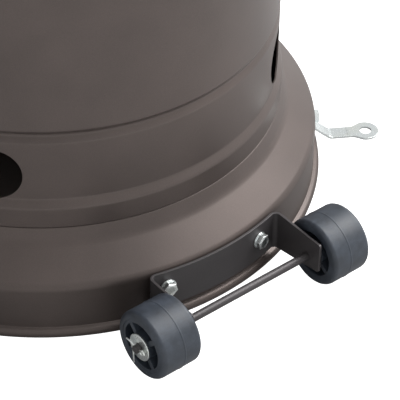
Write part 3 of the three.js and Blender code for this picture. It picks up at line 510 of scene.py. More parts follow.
def raised(outline, bottom, top, bevel=0.0, segments=2):
    """A plan outline raised from one height to another, its flat edges rounded."""
    mesh = bmesh.new()
    face = mesh.faces.new([mesh.verts.new((x, y, bottom)) for x, y in outline])
    grown = bmesh.ops.extrude_face_region(mesh, geom=[face])
    lifted = [part for part in grown["geom"] if isinstance(part, bmesh.types.BMVert)]
    bmesh.ops.translate(mesh, vec=(0, 0, top - bottom), verts=lifted)
    bmesh.ops.recalc_face_normals(mesh, faces=mesh.faces)
    if bevel:
        rims = [edge for edge in mesh.edges if abs(edge.verts[0].co.z - edge.verts[1].co.z) < 1e-7]
        bmesh.ops.bevel(mesh, geom=rims, offset=bevel, affect="EDGES", segments=segments,
                        profile=0.5, material=-1)
    return mesh


def block(size, centre, bevel=0.0, segments=2):
    mesh = bmesh.new()
    bmesh.ops.create_cube(mesh, size=1.0)
    bmesh.ops.scale(mesh, vec=size, verts=mesh.verts)
    if bevel:
        bmesh.ops.bevel(mesh, geom=mesh.edges[:], offset=bevel, affect="EDGES", segments=segments,
                        profile=0.5, material=-1)
    bmesh.ops.translate(mesh, vec=centre, verts=mesh.verts)
    return mesh


def strip(path, thickness, width, bevel=0.0004):
    """Flat bar bent along a path of (distance, height) points, standing over azimuth 0."""
    bar = raised(walled(path, thickness), -width / 2, width / 2, bevel)
    return moved(bar, Matrix(((0, 0, -1, 0), (-1, 0, 0, 0), (0, 1, 0, 0), (0, 0, 0, 1))))


def moved(mesh, matrix):
    bmesh.ops.transform(mesh, matrix=matrix, verts=mesh.verts)
    return mesh


def turned_to(mesh, direction, start=(0, 0, 0)):
    """Points a shape's Z along a direction and puts its origin at a start point."""
    turn = UP.rotation_difference(Vector(direction)).to_matrix().to_4x4()
    return moved(mesh, Matrix.Translation(Vector(start)) @ turn)


def about_z(mesh, azimuth):
    return moved(mesh, Matrix.Rotation(math.radians(azimuth), 4, "Z"))


def merged(*shapes):
    """Several shapes kept as one mesh."""
    whole = bmesh.new()
    for shape in shapes:
        part = bpy.data.meshes.new("part")
        shape.to_mesh(part)
        shape.free()
        whole.from_mesh(part)
        bpy.data.meshes.remove(part)
    return whole


def object_from(name, mesh, sharp=32.0):
    data = bpy.data.meshes.new(name)
    mesh.to_mesh(data)
    mesh.free()
    data.shade_smooth()
    data.set_sharp_from_angle(angle=math.radians(sharp))
    made = bpy.data.objects.new(name, data)
    bpy.context.scene.collection.objects.link(made)
    return made


def piece(name, mesh, body, finish, replaces=(), sharp=32.0):
    """Finishes a mesh as a named piece that rides on a body."""
    made = object_from(name, mesh, sharp)
    made.data.materials.append(material(finish))
    level = made.modifiers.new("level_normals", "WEIGHTED_NORMAL")
    level.keep_sharp = True
    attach(made, body)
    if replaces:
        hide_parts(*replaces)
    return made


def drilled(shape, cutters):
    """A mesh with the cutters' volumes taken out."""
    target = object_from("drill_target", shape)
    tools = [object_from("drill_tool", cutter) for cutter in cutters]
    for tool in tools:
        cut = target.modifiers.new("cut", "BOOLEAN")
        cut.operation = "DIFFERENCE"
        cut.solver = "EXACT"
        cut.object = tool
    graph = bpy.context.evaluated_depsgraph_get()
    result = bmesh.new()
    data = bpy.data.meshes.new_from_object(target.evaluated_get(graph))
    result.from_mesh(data)
    bpy.data.meshes.remove(data)
    for used in [target, *tools]:
        leftover = used.data
        bpy.data.objects.remove(used)
        bpy.data.meshes.remove(leftover)
    return result


def pin(radius, length, sides=24, bevel=0.0):
    """A rod from the origin up Z with rounded ends."""
    soft = min(bevel, radius * 0.9)
    profile = softened([(0.0, 0.0), (radius, 0.0, soft), (radius, length, soft), (0.0, length)], 3)
    return spun(profile, sides, closed=False)


def drill(azimuth, height, radius, start, end, sides=64):
    """A radial cutter between two distances from the axis."""
    return turned_to(pin(radius, end - start, sides), polar(azimuth, 1.0), polar(azimuth, start, height))


def wire(points, radius, sides=12, smooth=True):
    """A round wire along a path, with closed ends."""
    curve = bpy.data.curves.new("wire", "CURVE")
    curve.dimensions = "3D"
    curve.bevel_depth = radius
    curve.bevel_resolution = max(1, sides // 4 - 1)
    curve.use_fill_caps = True
    curve.resolution_u = 8
    spline = curve.splines.new("NURBS" if smooth else "POLY")
    spline.points.add(len(points) - 1)
    for target, where in zip(spline.points, points):
        target.co = (*where, 1.0)
    if smooth:
        spline.order_u = 3
        spline.use_endpoint_u = True
    holder = bpy.data.objects.new("wire", curve)
    bpy.context.scene.collection.objects.link(holder)
    graph = bpy.context.evaluated_depsgraph_get()
    data = bpy.data.meshes.new_from_object(holder.evaluated_get(graph))
    made = bmesh.new()
    made.from_mesh(data)
    bmesh.ops.remove_doubles(made, verts=made.verts, dist=1e-7)
    bmesh.ops.recalc_face_normals(made, faces=made.faces)
    bpy.data.objects.remove(holder)
    bpy.data.curves.remove(curve)
    bpy.data.meshes.remove(data)
    return made


# ------------------------------------------------------------------ fasteners

def hexagon(across, height, bevel=0.0006):
    """A hexagon head with chamfered corners, from the origin up Z."""
    corner = across / math.sqrt(3)
    outline = [point for point in arc((0, 0), corner, 0, 300, 5)]
    prism = raised(outline, 0.0, height)
    edges = [edge for edge in prism.edges if min(vert.co.z for vert in edge.verts) > height - 1e-6]
    bmesh.ops.bevel(prism, geom=edges, offset=bevel, affect="EDGES", segments=3, profile=0.5, material=-1)
    return prism


def hex_bolt(across, head, shank, washer_reach, nut, grip):
    """A hexagon bolt through a grip that starts at the origin, with a washer and a nut."""
    washer = softened([(shank, 0.0), (washer_reach, 0.0, 0.0003), (washer_reach, 0.0011, 0.0004), (shank, 0.0011)], 2)
    dish = softened([(0.0, head), (across * 0.33, head), (across * 0.40, head + 0.0004, 0.0003),
                     (across * 0.44, head)], 2)
    head_start = grip + 0.0009
    nut_start = -nut - 0.0012
    return merged(
        moved(spun(washer, 40), Matrix.Translation((0, 0, grip))),
        moved(hexagon(across, head), Matrix.Translation((0, 0, head_start))),
        moved(spun(dish, 32, closed=False), Matrix.Translation((0, 0, head_start))),
        moved(hexagon(across, nut), Matrix.Translation((0, 0, nut_start))),
        moved(pin(shank, grip - nut_start + 0.004, 20, 0.0006), Matrix.Translation((0, 0, nut_start - 0.002))),
    )


M8 = {"across": 0.013, "head": 0.0055, "shank": 0.0039, "washer_reach": 0.008, "nut": 0.0065}
QUARTER_INCH = {"across": 0.0111, "head": 0.0046, "shank": 0.0031, "washer_reach": 0.007, "nut": 0.0056}
M6 = {"across": 0.010, "head": 0.0045, "shank": 0.0029, "washer_reach": 0.0064, "nut": 0.0050}


# ------------------------------------------------------------------ stage

class HEATER_OT_stage(bpy.types.Operator):
    """Camera, floor, backdrop light and the studio lamps"""

    bl_idname = "heater.stage"
    bl_label = "Stage"

    def execute(self, context):
        scene = context.scene
        scene.view_settings.view_transform = "Standard"
        self.make_camera(scene)
        self.make_floor(scene)
        self.make_world(scene)
        self.make_lamps(scene)
        return {"FINISHED"}

    def make_camera(self, scene):
        stand = polar(-35.14, 1.4316, 1.1421)
        heading = Matrix.Rotation(math.radians(-35.14 - 5.172), 4, "Z")
        tilt = Matrix.Rotation(math.radians(90.0 - 39.807), 4, "X")
        roll = Matrix.Rotation(math.radians(1.351), 4, "Z")
        data = bpy.data.cameras.new("camera")
        data.sensor_width = 36.0
        data.lens = 191.37
        camera = bpy.data.objects.new("camera", data)
        camera.matrix_world = Matrix.Translation(stand) @ heading @ tilt @ roll
        scene.collection.objects.link(camera)
        scene.camera = camera

    def make_floor(self, scene):
        tone, tree, shader = new_material("studio_floor", Roughness=0.9, Specular_IOR_Level=0.1)
        where = place(tree, "ShaderNodeTexCoord").outputs["Object"]
        flat = place(tree, "ShaderNodeVectorMath", {0: where, 1: (1.0, 1.0, 0.0)}, operation="MULTIPLY")
        away = place(tree, "ShaderNodeVectorMath", {0: flat.outputs[0]}, operation="LENGTH")
        base = Vector(colours().floor[:3])
        # painted shadow: the floor's colour drops to 0.42 of its tone near the middle and is back to full tone 0.48 m
        # out, so less light bounces up under the base; camera rays see only the white emission over it
        share = between(tree, away.outputs["Value"], 0.27, 0.48)
        pale = blended(tree, share, (*(base * 0.42), 1.0), (*base, 1.0))
        tree.links.new(pale, shader.inputs["Base Color"])
        shader.inputs["Emission Color"].default_value = (1.0, 1.0, 1.0, 1.0)
        seen = place(tree, "ShaderNodeLightPath").outputs["Is Camera Ray"]
        tree.links.new(sums(tree, "MULTIPLY", seen, 1.2), shader.inputs["Emission Strength"])
        mesh = bmesh.new()
        bmesh.ops.create_grid(mesh, x_segments=2, y_segments=2, size=9.0)
        floor = object_from("floor", mesh)
        floor.data.materials.append(tone)

    def make_world(self, scene):
        world = bpy.data.worlds.new("studio")
        world.use_nodes = True
        backdrop = world.node_tree.nodes["Background"]
        backdrop.inputs["Color"].default_value = (1.0, 1.0, 1.0, 1.0)
        seen = place(world.node_tree, "ShaderNodeLightPath").outputs["Is Camera Ray"]
        strength = between(world.node_tree, seen, 0.0, 1.0, 0.65, 1.2)
        world.node_tree.links.new(strength, backdrop.inputs["Strength"])
        scene.world = world

    def make_lamps(self, scene):
        """Soft boxes, each given its azimuth, distance, height, width, depth and power."""
        boxes = {
            "key": (58.0, 3.5, 4.7, 5.1, 3.8, 200.0),
            "rear": (84.0, 3.7, 3.4, 3.2, 3.2, 243.0),
            "front": (0.0, 3.4, 1.25, 4.0, 2.2, 6.0),
        }
        for name, (azimuth, distance, height, width, depth, power) in boxes.items():
            data = bpy.data.lights.new(name, "AREA")
            data.shape = "RECTANGLE"
            data.size = width
            data.size_y = depth
            data.energy = power
            lamp = bpy.data.objects.new(name, data)
            lamp.location = polar(azimuth, distance, height)
            aim = Vector((0, 0, 0.3)) - lamp.location
            lamp.rotation_euler = aim.to_track_quat("-Z", "Y").to_euler()
            scene.collection.objects.link(lamp)


# ------------------------------------------------------------------ base

class HEATER_OT_base(bpy.types.Operator):
    """Pressed base pan with its rolled rim"""

    bl_idname = "heater.base"
    bl_label = "Base pan"

    def execute(self, context):
        sizes = shape_sizes()
        sheet = 0.0015
        roll = sizes.rim_roll
        skirt = sizes.skirt_reach
        rim = reach("base_pan")
        plateau = high("base_pan").z
        seat = reach("tank_cover") - 0.0002
        seat_height = low("tank_cover").z - 0.0003
        curl = arc((rim - roll, roll), roll, -215, 84, 20)
        dome = softened(self.corners(skirt, sizes.skirt_top, seat, seat_height, plateau), 8)
        crease = [Vector((skirt + 0.0002, 2 * roll + 0.0004)), Vector((skirt, 2 * roll + 0.0016))]
        path = curl + crease + dome
        pan = spun(walled(path, sheet), 256, closed=False)
        piece("base_shell", pan, "frame", "bronze", ["base_pan"], sharp=40)
        return {"FINISHED"}

    def corners(self, skirt, skirt_top, seat, seat_height, plateau):
        """Skirt, shoulder, slope, fillet, seat and plateau."""
        return [
            (skirt, 0.014),
            (skirt, skirt_top + 0.0035, 0.010),
            (seat + 0.0046, seat_height - 0.0120, 0.016),
            (seat, seat_height, 0.0014),
            (seat - 0.0085, seat_height, 0.0020),
            (seat - 0.0105, plateau, 0.0050),
            (0.0, plateau),
        ]


class HEATER_OT_ground_tabs(bpy.types.Operator):
    """Zinc-plated ground tabs and their bolts"""

    bl_idname = "heater.ground_tabs"
    bl_label = "Ground tabs"

    def execute(self, context):
        for number in (1, 2, 3):
            node = f"anchor_tab_{number}"
            bolt = f"anchor_bolt_{number}"
            azimuth = azimuth_of(middle(bolt))
            piece(f"ground_tab_{number}", about_z(self.tab(), azimuth), "frame", "tab_zinc", [node])
            seat = polar(azimuth, shape_sizes().skirt_reach - 0.0015, middle(bolt).z)
            shape = turned_to(hex_bolt(grip=0.0041, **M6), polar(azimuth, 1.0), seat)
            piece(f"tab_bolt_{number}", shape, "frame", "zinc", [bolt])
        return {"FINISHED"}

    def tab(self):
        """A strip that follows the floor, climbs past the rim and lies on the skirt."""
        thickness = 0.002
        width = 0.013
        eye_reach = 0.2755
        eye = 0.0115
        knee = 0.2435
        rim = reach("base_pan")
        over_rim = 0.0125
        face = shape_sizes().skirt_reach + 0.0006 + thickness
        side = softened([
            (eye_reach - eye - 0.005, thickness), (knee, thickness, 0.006), (rim + 0.0005, over_rim, 0.002),
            (face, over_rim + 0.003, 0.002), (face, high("anchor_tab_1").z)], 5)
        neck = eye_reach - eye - 0.0055
        half = width / 2
        flare = softened([(half, neck), (half, neck + 0.006, 0.008), (eye * 0.93, eye_reach - eye * 0.34)], 4)[:-1]
        ring = arc((0, eye_reach), eye, -20, 200, 28)
        outline = flare + ring + [Vector((-x, y)) for x, y in reversed(flare)]
        plate = raised([Vector((x, -y)) for x, y in outline], 0.0, thickness, 0.0003)
        hole = turned_to(pin(0.0052, 0.01, 40), UP, (0, -eye_reach, -0.005))
        return merged(strip(side, thickness, width, 0.0003), drilled(plate, [hole]))


# ------------------------------------------------------------------ transport wheels

def wheel_line():
    return joint_pos("wheel_left_spin").yz


def on_axle(mesh, side, spin=0.0):
    """Turns a shape made along Z onto the axle, its Z pointing away from the middle."""
    line = wheel_line()
    turn = Matrix.Rotation(side * math.pi / 2, 4, "Y")
    roll = Matrix.Rotation(math.radians(spin), 4, "Z")
    return moved(mesh, Matrix.Translation((0, line.x, line.y)) @ turn @ roll)


class HEATER_OT_wheel_bracket(bpy.types.Operator):
    """U-shaped wheel bracket and its bolts"""

    bl_idname = "heater.wheel_bracket"
    bl_label = "Wheel bracket"

    def execute(self, context):
        thickness = 0.0023
        arm = 0.0659
        end = -0.2725
        face = shape_sizes().skirt_reach + 0.0009
        bend = 0.006
        bend_x = arm - bend
        bend_y = -math.sqrt((face + bend) ** 2 - bend_x ** 2)
        meet = math.degrees(math.asin(bend_x / (face + bend)))
        half = [Vector((arm, end))] + arc((bend_x, bend_y), bend, 0, 90 + meet, 12)
        plate = arc((0, 0), face, -90 + meet, -90 - meet, 24)[1:-1]
        mirror = [Vector((-x, y)) for x, y in reversed(half)]
        outline = walled(half + plate + mirror, thickness)
        strap = raised(outline, low("wheel_bracket").z, high("wheel_bracket").z)
        strap = about_z(self.tapered(strap, bend_y - bend, end), -0.3)
        line = wheel_line()
        bore = turned_to(pin(0.0037, 0.2, 32), ACROSS, (-0.1, line.x, line.y))
        piece("bracket_strap", drilled(strap, [bore]), "frame", "dark_bronze",
              ["wheel_bracket"])
        for number in (1, 2):
            node = f"bracket_bolt_{number}"
            azimuth = azimuth_of(middle(node))
            seat = polar(azimuth, shape_sizes().skirt_reach - 0.0015, middle(node).z)
            shape = about_z(hex_bolt(grip=0.0048, **QUARTER_INCH), 12.0 + 21.0 * number)
            shape = turned_to(shape, polar(azimuth, 1.0), seat)
            piece(f"strap_bolt_{number}", shape, "frame", "zinc", [node])
        return {"FINISHED"}

    def tapered(self, strap, start, end):
        """Rounds the ends of the arms and narrows them from the bend outwards."""
        bottom = low("wheel_bracket").z
        top = high("wheel_bracket").z
        corners = [edge for edge in strap.edges
                   if all(vert.co.y < end + 1e-5 for vert in edge.verts)
                   and abs(edge.verts[0].co.z - edge.verts[1].co.z) < 1e-6]
        bmesh.ops.bevel(strap, geom=corners, offset=0.0025, affect="EDGES", segments=4, profile=0.5, material=-1)
        sharp = [edge for edge in strap.edges if len(edge.link_faces) == 2 and edge.calc_face_angle() > 1.0]
        bmesh.ops.bevel(strap, geom=sharp, offset=0.0005, affect="EDGES", segments=2, profile=0.5, material=-1)
        for vert in strap.verts:
            share = max(0.0, (start - vert.co.y) / (start - end))
            tall = (vert.co.z - bottom) / (top - bottom)
            vert.co.z += share * (0.0075 * (1.0 - tall) - 0.0005 * tall)
        return strap


class HEATER_OT_wheels(bpy.types.Operator):
    """Wheels, axle, washers and split pins"""

    bl_idname = "heater.wheels"
    bl_label = "Wheels"

    def execute(self, context):
        self.axle()
        for label, side in (("left", -1), ("right", 1)):
            self.wheel(label, side)
            self.washer(label, side)
            self.split_pin(label, side)
        return {"FINISHED"}

    def axle(self):
        end = high("axle").x
        rod = pin(0.0034, 2 * end, 48, 0.0007)
        hole = 0.0012
        line = wheel_line()
        shaft = turned_to(rod, ACROSS, (-end, line.x, line.y))
        cross = [turned_to(pin(hole, 0.02, 24), FRONT, (middle(f"cotter_{side}").x, line.x - 0.01, line.y))
                 for side in ("left", "right")]
        piece("axle_rod", drilled(shaft, cross), "frame", "dark_bronze", ["axle"])

    def wheel(self, label, side):
        node = f"wheel_{label}"
        inner = min(abs(low(node).x), abs(high(node).x))
        outer = max(abs(low(node).x), abs(high(node).x))
        radius = (high(node).z - low(node).z) / 2
        bore, hub, well, web = 0.0037, 0.0112, 0.0196, 0.0155
        seam = (inner + outer) / 2 - 0.002
        profile = softened([
            (bore, inner + 0.0008), (hub, inner + 0.0008, 0.0006), (hub, inner + web, 0.001),
            (well, inner + web, 0.001), (well, inner, 0.0008),
            (radius, inner, 0.0034),
            (radius, seam - 0.0009), (radius + 0.0003, seam - 0.0004, 0.0002),
            (radius + 0.0003, seam + 0.0004, 0.0002), (radius, seam + 0.0009),
            (radius, outer, 0.0042),
            (radius - 0.0062, outer), (radius - 0.0066, outer - 0.0005, 0.0003),
            (well, outer - 0.0006, 0.0006),
            (well, outer - web, 0.001), (hub, outer - web, 0.001), (hub, outer, 0.0006),
            (bore, outer),
        ], 5)
        parts = [spun(profile, 160)]
        count = shape_sizes().spokes
        width, depth = 0.0044, web - 0.001
        for face in (inner + depth / 2 + 0.0016, outer - depth / 2 - 0.0010):
            for k in range(count):
                spoke = block((well - hub + 0.002, width, depth), ((well + hub) / 2, 0, face), 0.0004)
                parts.append(about_z(spoke, 360.0 * k / count))
        shape = on_axle(merged(*parts), side, 36.0 if side > 0 else 44.0)
        piece(f"{label}_wheel", shape, node, "wheel", [node])

    def washer(self, label, side):
        node = f"washer_{label}"
        face = min(abs(low(node).x), abs(high(node).x))
        thickness = high(node).x - low(node).x
        radius = (high(node).z - low(node).z) / 2
        profile = softened([
            (0.0038, face), (radius, face, 0.0003), (radius, face + thickness, 0.0005),
            (0.0038, face + thickness, 0.0003)], 3)
        piece(f"axle_washer_{label}", on_axle(spun(profile, 72), side), "frame", "zinc", [node])

    def split_pin(self, label, side):
        """Two half-round legs through the axle, an eye on the outside and the ends spread."""
        node = f"cotter_{label}"
        leg = 0.0007
        near = 0.0038
        eye = 0.0024
        bent = [(-near, 0.0007), (near, 0.0007), (near + 0.0016, 0.0012), (near + 0.0050, 0.0022),
                (near + 0.0088, 0.0018)]
        dropped = [(-near, -0.0007), (near, -0.0007), (near + 0.0009, -0.0020), (near + 0.0004, -0.0085),
                   (near - 0.0002, -0.0165)]
        loop = [(-near - eye - eye * math.cos(a), 0.85 * eye * math.sin(a))
                for a in (math.radians(-152 + 20.3 * k) for k in range(16))]
        wires = [wire([Vector((0, y, z)) for y, z in path], leg) for path in (bent, dropped, loop)]
        shape = moved(merged(*wires), Matrix.Translation(middle(node)))
        piece(f"split_pin_{label}", shape, "frame", "zinc", [node])


# ------------------------------------------------------------------ tank cover

class HEATER_OT_cover(bpy.types.Operator):
    """Tank cover with vents and beads, its lid and its neck bushing"""

    bl_idname = "heater.cover"
    bl_label = "Tank cover"

    def execute(self, context):
        self.wall()
        self.lid()
        self.bushing()
        return {"FINISHED"}

    def wall(self):
        sizes = shape_sizes()
        sheet = 0.0012
        band = reach("tank_cover")
        wall = band - sizes.band_step
        foot = low("tank_cover").z
        deep = wall - sizes.bead_depth
        corners = [(band - 0.0004, foot), (band, foot + 0.0006), (band, foot + 0.0185, 0.0055),
                   (wall, foot + 0.0245, 0.0045)]
        for height in (0.1685, 0.5405):
            corners += [(wall, height - 0.0060, 0.004), (deep, height - 0.0012, 0.003),
                        (deep, height + 0.0012, 0.003), (wall, height + 0.0050, 0.003)]
        corners += [(wall, high("tank_cover").z)]
        shell = spun(walled(softened(corners, 7), sheet), 256)
        vents = [drill(azimuth, 0.1315, sizes.vent_radius, wall - 0.03, wall + 0.03, 96)
                 for azimuth in (-48.7, 41.3, 131.3, 221.3)]
        piece("cover_shell", drilled(shell, vents), "cover", "bronze", ["tank_cover"])

    def lid(self):
        sheet = 0.0012
        edge = reach("cover_lid")
        foot = low("cover_lid").z
        top = high("cover_lid").z
        neck = 0.038
        path = softened([
            (edge, foot), (edge, foot + 0.0155, 0.009), (neck + 0.007, top - 0.021, 0.006),
            (neck, top - 0.015, 0.004), (neck, top)], 7)
        piece("lid_shell", spun(walled(path, sheet), 192), "cover", "bronze", ["cover_lid"])
        for k in range(4):
            azimuth = 45.0 + 90.0 * k
            head = softened([(0.0, 0.0022), (0.0022, 0.0020, 0.001), (0.0042, 0.0008, 0.0006), (0.0042, -0.0006)], 3)
            screw = drilled(spun(head + [Vector((0.0, -0.0006))], 32, closed=False),
                            [block((0.0048, 0.0009, 0.002), (0, 0, 0.0024)),
                             block((0.0009, 0.0048, 0.002), (0, 0, 0.0024))])
            spot = polar(azimuth, edge, foot + 0.0045)
            piece(f"lid_screw_{k + 1}", turned_to(screw, polar(azimuth, 1.0), spot), "cover", "zinc")

    def bushing(self):
        bore = 0.031
        outer = reach("neck_bushing")
        foot = low("neck_bushing").z
        top = high("neck_bushing").z
        sleeve = 0.0365
        profile = softened([
            (bore, foot, 0.0008), (sleeve, foot, 0.0006), (sleeve, top - 0.0037), (outer, top - 0.0037, 0.0006),
            (outer, top, 0.0022), (bore, top, 0.0010)], 4)
        piece("neck_ring", spun(profile, 96), "cover", "black", ["neck_bushing"])


# ------------------------------------------------------------------ uprights and gas bottle

class HEATER_OT_uprights(bpy.types.Operator):
    """Flat bar uprights round the bottle, with their bolts"""

    bl_idname = "heater.uprights"
    bl_label = "Uprights"

    def execute(self, context):
        thickness = 0.004
        foot = low("upright_1").z
        top = high("upright_1").z
        face = -low("upright_1").y
        foot_bolt = -middle("upright_foot_bolt_1").y
        flange_bolt = -middle("post_foot_bolt_1").y
        path = softened([(0.140, foot), (face, foot, 0.010), (face, top, 0.010), (0.034, top)], 8)
        for number in (1, 2, 3):
            azimuth = azimuth_of(middle(f"upright_foot_bolt_{number}"))
            holes = [moved(pin(0.0043, 0.03, 32), Matrix.Translation((0, -foot_bolt, foot - 0.01))),
                     moved(pin(0.0043, 0.03, 32), Matrix.Translation((0, -flange_bolt, top - 0.02)))]
            bar = drilled(strip(path, thickness, 0.030, 0.0008), holes)
            piece(f"flat_bar_{number}", about_z(bar, azimuth), "frame", "dark_bronze",
                  [f"upright_{number}"])
            for node, distance, start, grip in (
                    (f"upright_foot_bolt_{number}", foot_bolt, high("base_pan").z - 0.0015, 0.0060),
                    (f"post_foot_bolt_{number}", flange_bolt, top - thickness, 0.0096)):
                bolt = moved(hex_bolt(grip=grip, **M8), Matrix.Translation((0, -distance, start)))
                piece(node.replace("bolt", "screw"), about_z(bolt, azimuth), "frame", "zinc", [node])
        return {"FINISHED"}


def towards_front(mesh, height):
    """Turns a shape made along Z to lie along +Y at a height, its own -Y side upwards."""
    return moved(mesh, Matrix.Translation((0, 0, height)) @ Matrix.Rotation(-math.pi / 2, 4, "X"))


def lobed(radius, depth, count, steps):
    """A round outline with shallow lobes."""
    turns = [2 * math.pi * k / steps for k in range(steps)]
    return [Vector(((radius + depth * math.cos(count * t)) * math.cos(t),
                    (radius + depth * math.cos(count * t)) * math.sin(t))) for t in turns]


class HEATER_OT_bottle(bpy.types.Operator):
    """Gas bottle with its foot ring, guard, valve, regulator, hose and strap"""

    bl_idname = "heater.bottle"
    bl_label = "Gas bottle"

    def execute(self, context):
        self.shell()
        self.foot_ring()
        self.guard()
        self.valve()
        self.nut()
        self.regulator()
        self.hose()
        self.strap()
        return {"FINISHED"}

    def shell(self):
        radius = reach("gas_bottle")
        rise = 0.078
        bottom = low("gas_bottle").z + rise
        top = high("gas_bottle").z - rise
        seam = (bottom + top) / 2
        foot = [Vector((radius * math.cos(t), bottom + rise * math.sin(t)))
                for t in (math.radians(-90 + 90 * k / 20) for k in range(21))]
        crown = [Vector((radius * math.cos(t), top + rise * math.sin(t)))
                 for t in (math.radians(85.5 * k / 20) for k in range(21))]
        foot[0].x = 0.0
        weld = softened([(radius, seam - 0.006), (radius - 0.0008, seam - 0.004, 0.001),
                         (radius + 0.0001, seam, 0.003), (radius - 0.0008, seam + 0.004, 0.001),
                         (radius, seam + 0.006)], 3)
        skin = walled(foot + weld + crown, 0.003)
        piece("bottle_shell", spun(skin, 160, closed=False), "frame", "bottle", ["gas_bottle"])

    def foot_ring(self):
        radius = reach("bottle_foot_ring")
        foot = low("bottle_foot_ring").z
        path = softened([(radius - 0.006, foot), (radius - 0.0045, foot, 0.001), (radius, foot + 0.0045, 0.003),
                         (radius, high("bottle_foot_ring").z)], 4)
        ring = drilled(spun(walled(path, 0.003), 128),
                       [drill(azimuth, foot + 0.016, 0.005, 0.09, 0.12, 24) for azimuth in (45, 165, 285)])
        piece("bottle_foot", ring, "frame", "bottle", ["bottle_foot_ring"])

    def guard(self):
        """An open collar with rolled top edge and two hand slots."""
        radius = reach("bottle_guard")
        bottom = low("bottle_guard").z
        top = high("bottle_guard").z
        outline = arc((0, 0), radius, 152, 388, 72) + arc((0, 0), radius - 0.003, 388, 152, 72)
        wall = raised(outline, bottom, top - 0.003, 0.0008)
        slots = []
        for azimuth in (-90, 90):
            slot = block((0.03, 0.062, 0.026), (0, 0, 0), 0.0125, 6)
            slots.append(moved(slot, Matrix.Translation(polar(azimuth, radius - 0.001, top - 0.032))))
        roll = [Vector((*point, top - 0.003)) for point in arc((0, 0), radius - 0.003, 152, 388, 72)]
        collar = merged(drilled(wall, slots), wire(roll, 0.003, 16, smooth=False))
        piece("bottle_collar", collar, "frame", "bottle", ["bottle_guard"])

    def valve(self):
        start = low("bottle_valve").z
        top = high("bottle_valve").z
        line = joint_pos("coupling_nut_turn").z
        end = high("bottle_valve").y
        base = raised(arc((0, 0), 0.016, 0, 300, 5), start, start + 0.012, 0.0008)
        body = spun(softened([(0.0, start), (0.013, start), (0.013, top - 0.012, 0.001),
                              (0.0095, top - 0.009, 0.001), (0.0095, top, 0.001), (0.0, top)], 4), 64, False)
        thread = [(0.0, 0.002), (0.0138, 0.002)]
        for k in range(12):
            height = 0.018 + 0.0022 * k
            thread += [(0.0138, height), (0.0148, height + 0.0008), (0.0148, height + 0.0012), (0.0138, height + 0.002)]
        thread += [(0.0138, end - 0.002), (0.0125, end), (0.005, end), (0.005, end - 0.006), (0.0, end - 0.006)]
        outlet = towards_front(spun(thread, 64, False), line)
        piece("valve_body", merged(base, body, outlet), "frame", "brass", ["bottle_valve"])
        wheel = raised(lobed(0.027, 0.0016, 8, 96), low("valve_handwheel").z, high("valve_handwheel").z, 0.0035, 4)
        cap = spun(softened([(0.0, 0.001), (0.009, 0.001, 0.001), (0.009, -0.004), (0.0, -0.004)], 3), 48, False)
        hand = merged(wheel, moved(cap, Matrix.Translation((0, 0, high("valve_handwheel").z))))
        piece("hand_knob", hand, "valve_handwheel", "red", ["valve_handwheel"])

    def nut(self):
        """Ribbed grip nut on the outlet."""
        line = joint_pos("coupling_nut_turn").z
        start = low("coupling_nut").y
        end = high("coupling_nut").y
        grip = raised(lobed(0.0232, 0.0008, 30, 240), start, end - 0.007, 0.0012)
        bore = moved(pin(0.0156, end - start, 64), Matrix.Translation((0, 0, start - 0.008)))
        collar = spun(softened([(0.0086, end - 0.0085), (0.0225, end - 0.0085), (0.0205, end, 0.003),
                                (0.0086, end)], 4), 96)
        piece("grip_nut", towards_front(merged(drilled(grip, [bore]), collar), line), "coupling_nut", "black",
              ["coupling_nut"])

    def regulator(self):
        centre = high("regulator").y - 0.034
        bottom = low("regulator").z
        top = high("regulator").z
        line = joint_pos("coupling_nut_turn").z
        case = spun(softened([(0.0, bottom), (0.026, bottom, 0.004), (0.030, bottom + 0.012, 0.002),
                              (0.034, bottom + 0.013, 0.0008), (0.034, bottom + 0.019, 0.0008),
                              (0.030, bottom + 0.020, 0.002), (0.027, top - 0.006, 0.005), (0.0, top - 0.005)], 4),
                    96, False)
        cap = spun(softened([(0.0, top - 0.008), (0.022, top - 0.008), (0.022, top, 0.0015), (0.0, top)], 3),
                   64, False)
        parts = [moved(shape, Matrix.Translation((0, centre, 0))) for shape in (case, cap)]
        for k in range(6):
            spot = Matrix.Rotation(math.radians(60 * k + 30), 4, "Z") @ Vector((0.0315, 0, bottom + 0.0185))
            parts.append(moved(pin(0.0018, 0.002, 16, 0.0005), Matrix.Translation(spot + Vector((0, centre, 0)))))
        inlet = pin(0.008, centre - 0.049, 48, 0.001)
        parts.append(towards_front(moved(inlet, Matrix.Translation((0, 0, 0.049))), line))
        steps = [(0.0, 0.020), (0.0070, 0.020), (0.0070, 0.034)]
        for k in range(3):
            steps += [(0.0044, 0.034 + 0.004 * k), (0.0060, 0.0345 + 0.004 * k), (0.0044, 0.038 + 0.004 * k)]
        steps += [(0.0, 0.046)]
        parts.append(turned_to(spun(steps, 40, False), ACROSS, (0, centre, line)))
        piece("gas_regulator", merged(*parts), "frame", "cast", ["regulator"])

    def hose(self):
        """Rubber hose from the regulator over the guard and up inside the post."""
        start = Vector((high("regulator").x, high("regulator").y - 0.034, joint_pos("coupling_nut_turn").z))
        top = high("gas_hose").z
        route = [start, start + Vector((0.012, 0, 0)), (0.084, 0.108, 0.492), (0.094, 0.094, 0.526),
                 (0.082, 0.075, 0.553), (0.058, 0.052, 0.572), (0.032, 0.028, 0.586), (0.010, 0.008, 0.602),
                 (0.001, 0.001, 0.630), (0, 0, 0.680), (0, 0, 0.9), (0, 0, 1.3), (0, 0, top - 0.01), (0, 0, top)]
        piece("rubber_hose", wire([Vector(place) for place in route], 0.0049, 20), "frame", "hose",
              ["gas_hose"])
        band = spun(softened([(0.0051, 0.002), (0.0062, 0.002, 0.0004), (0.0062, 0.010, 0.0004), (0.0051, 0.010)], 2), 40)
        screw = moved(pin(0.0022, 0.011, 20, 0.0005), Matrix.Translation((0, 0.0075, 0.0005)))
        clamp = turned_to(merged(band, screw), ACROSS, start)
        piece("hose_clamp", clamp, "frame", "zinc")

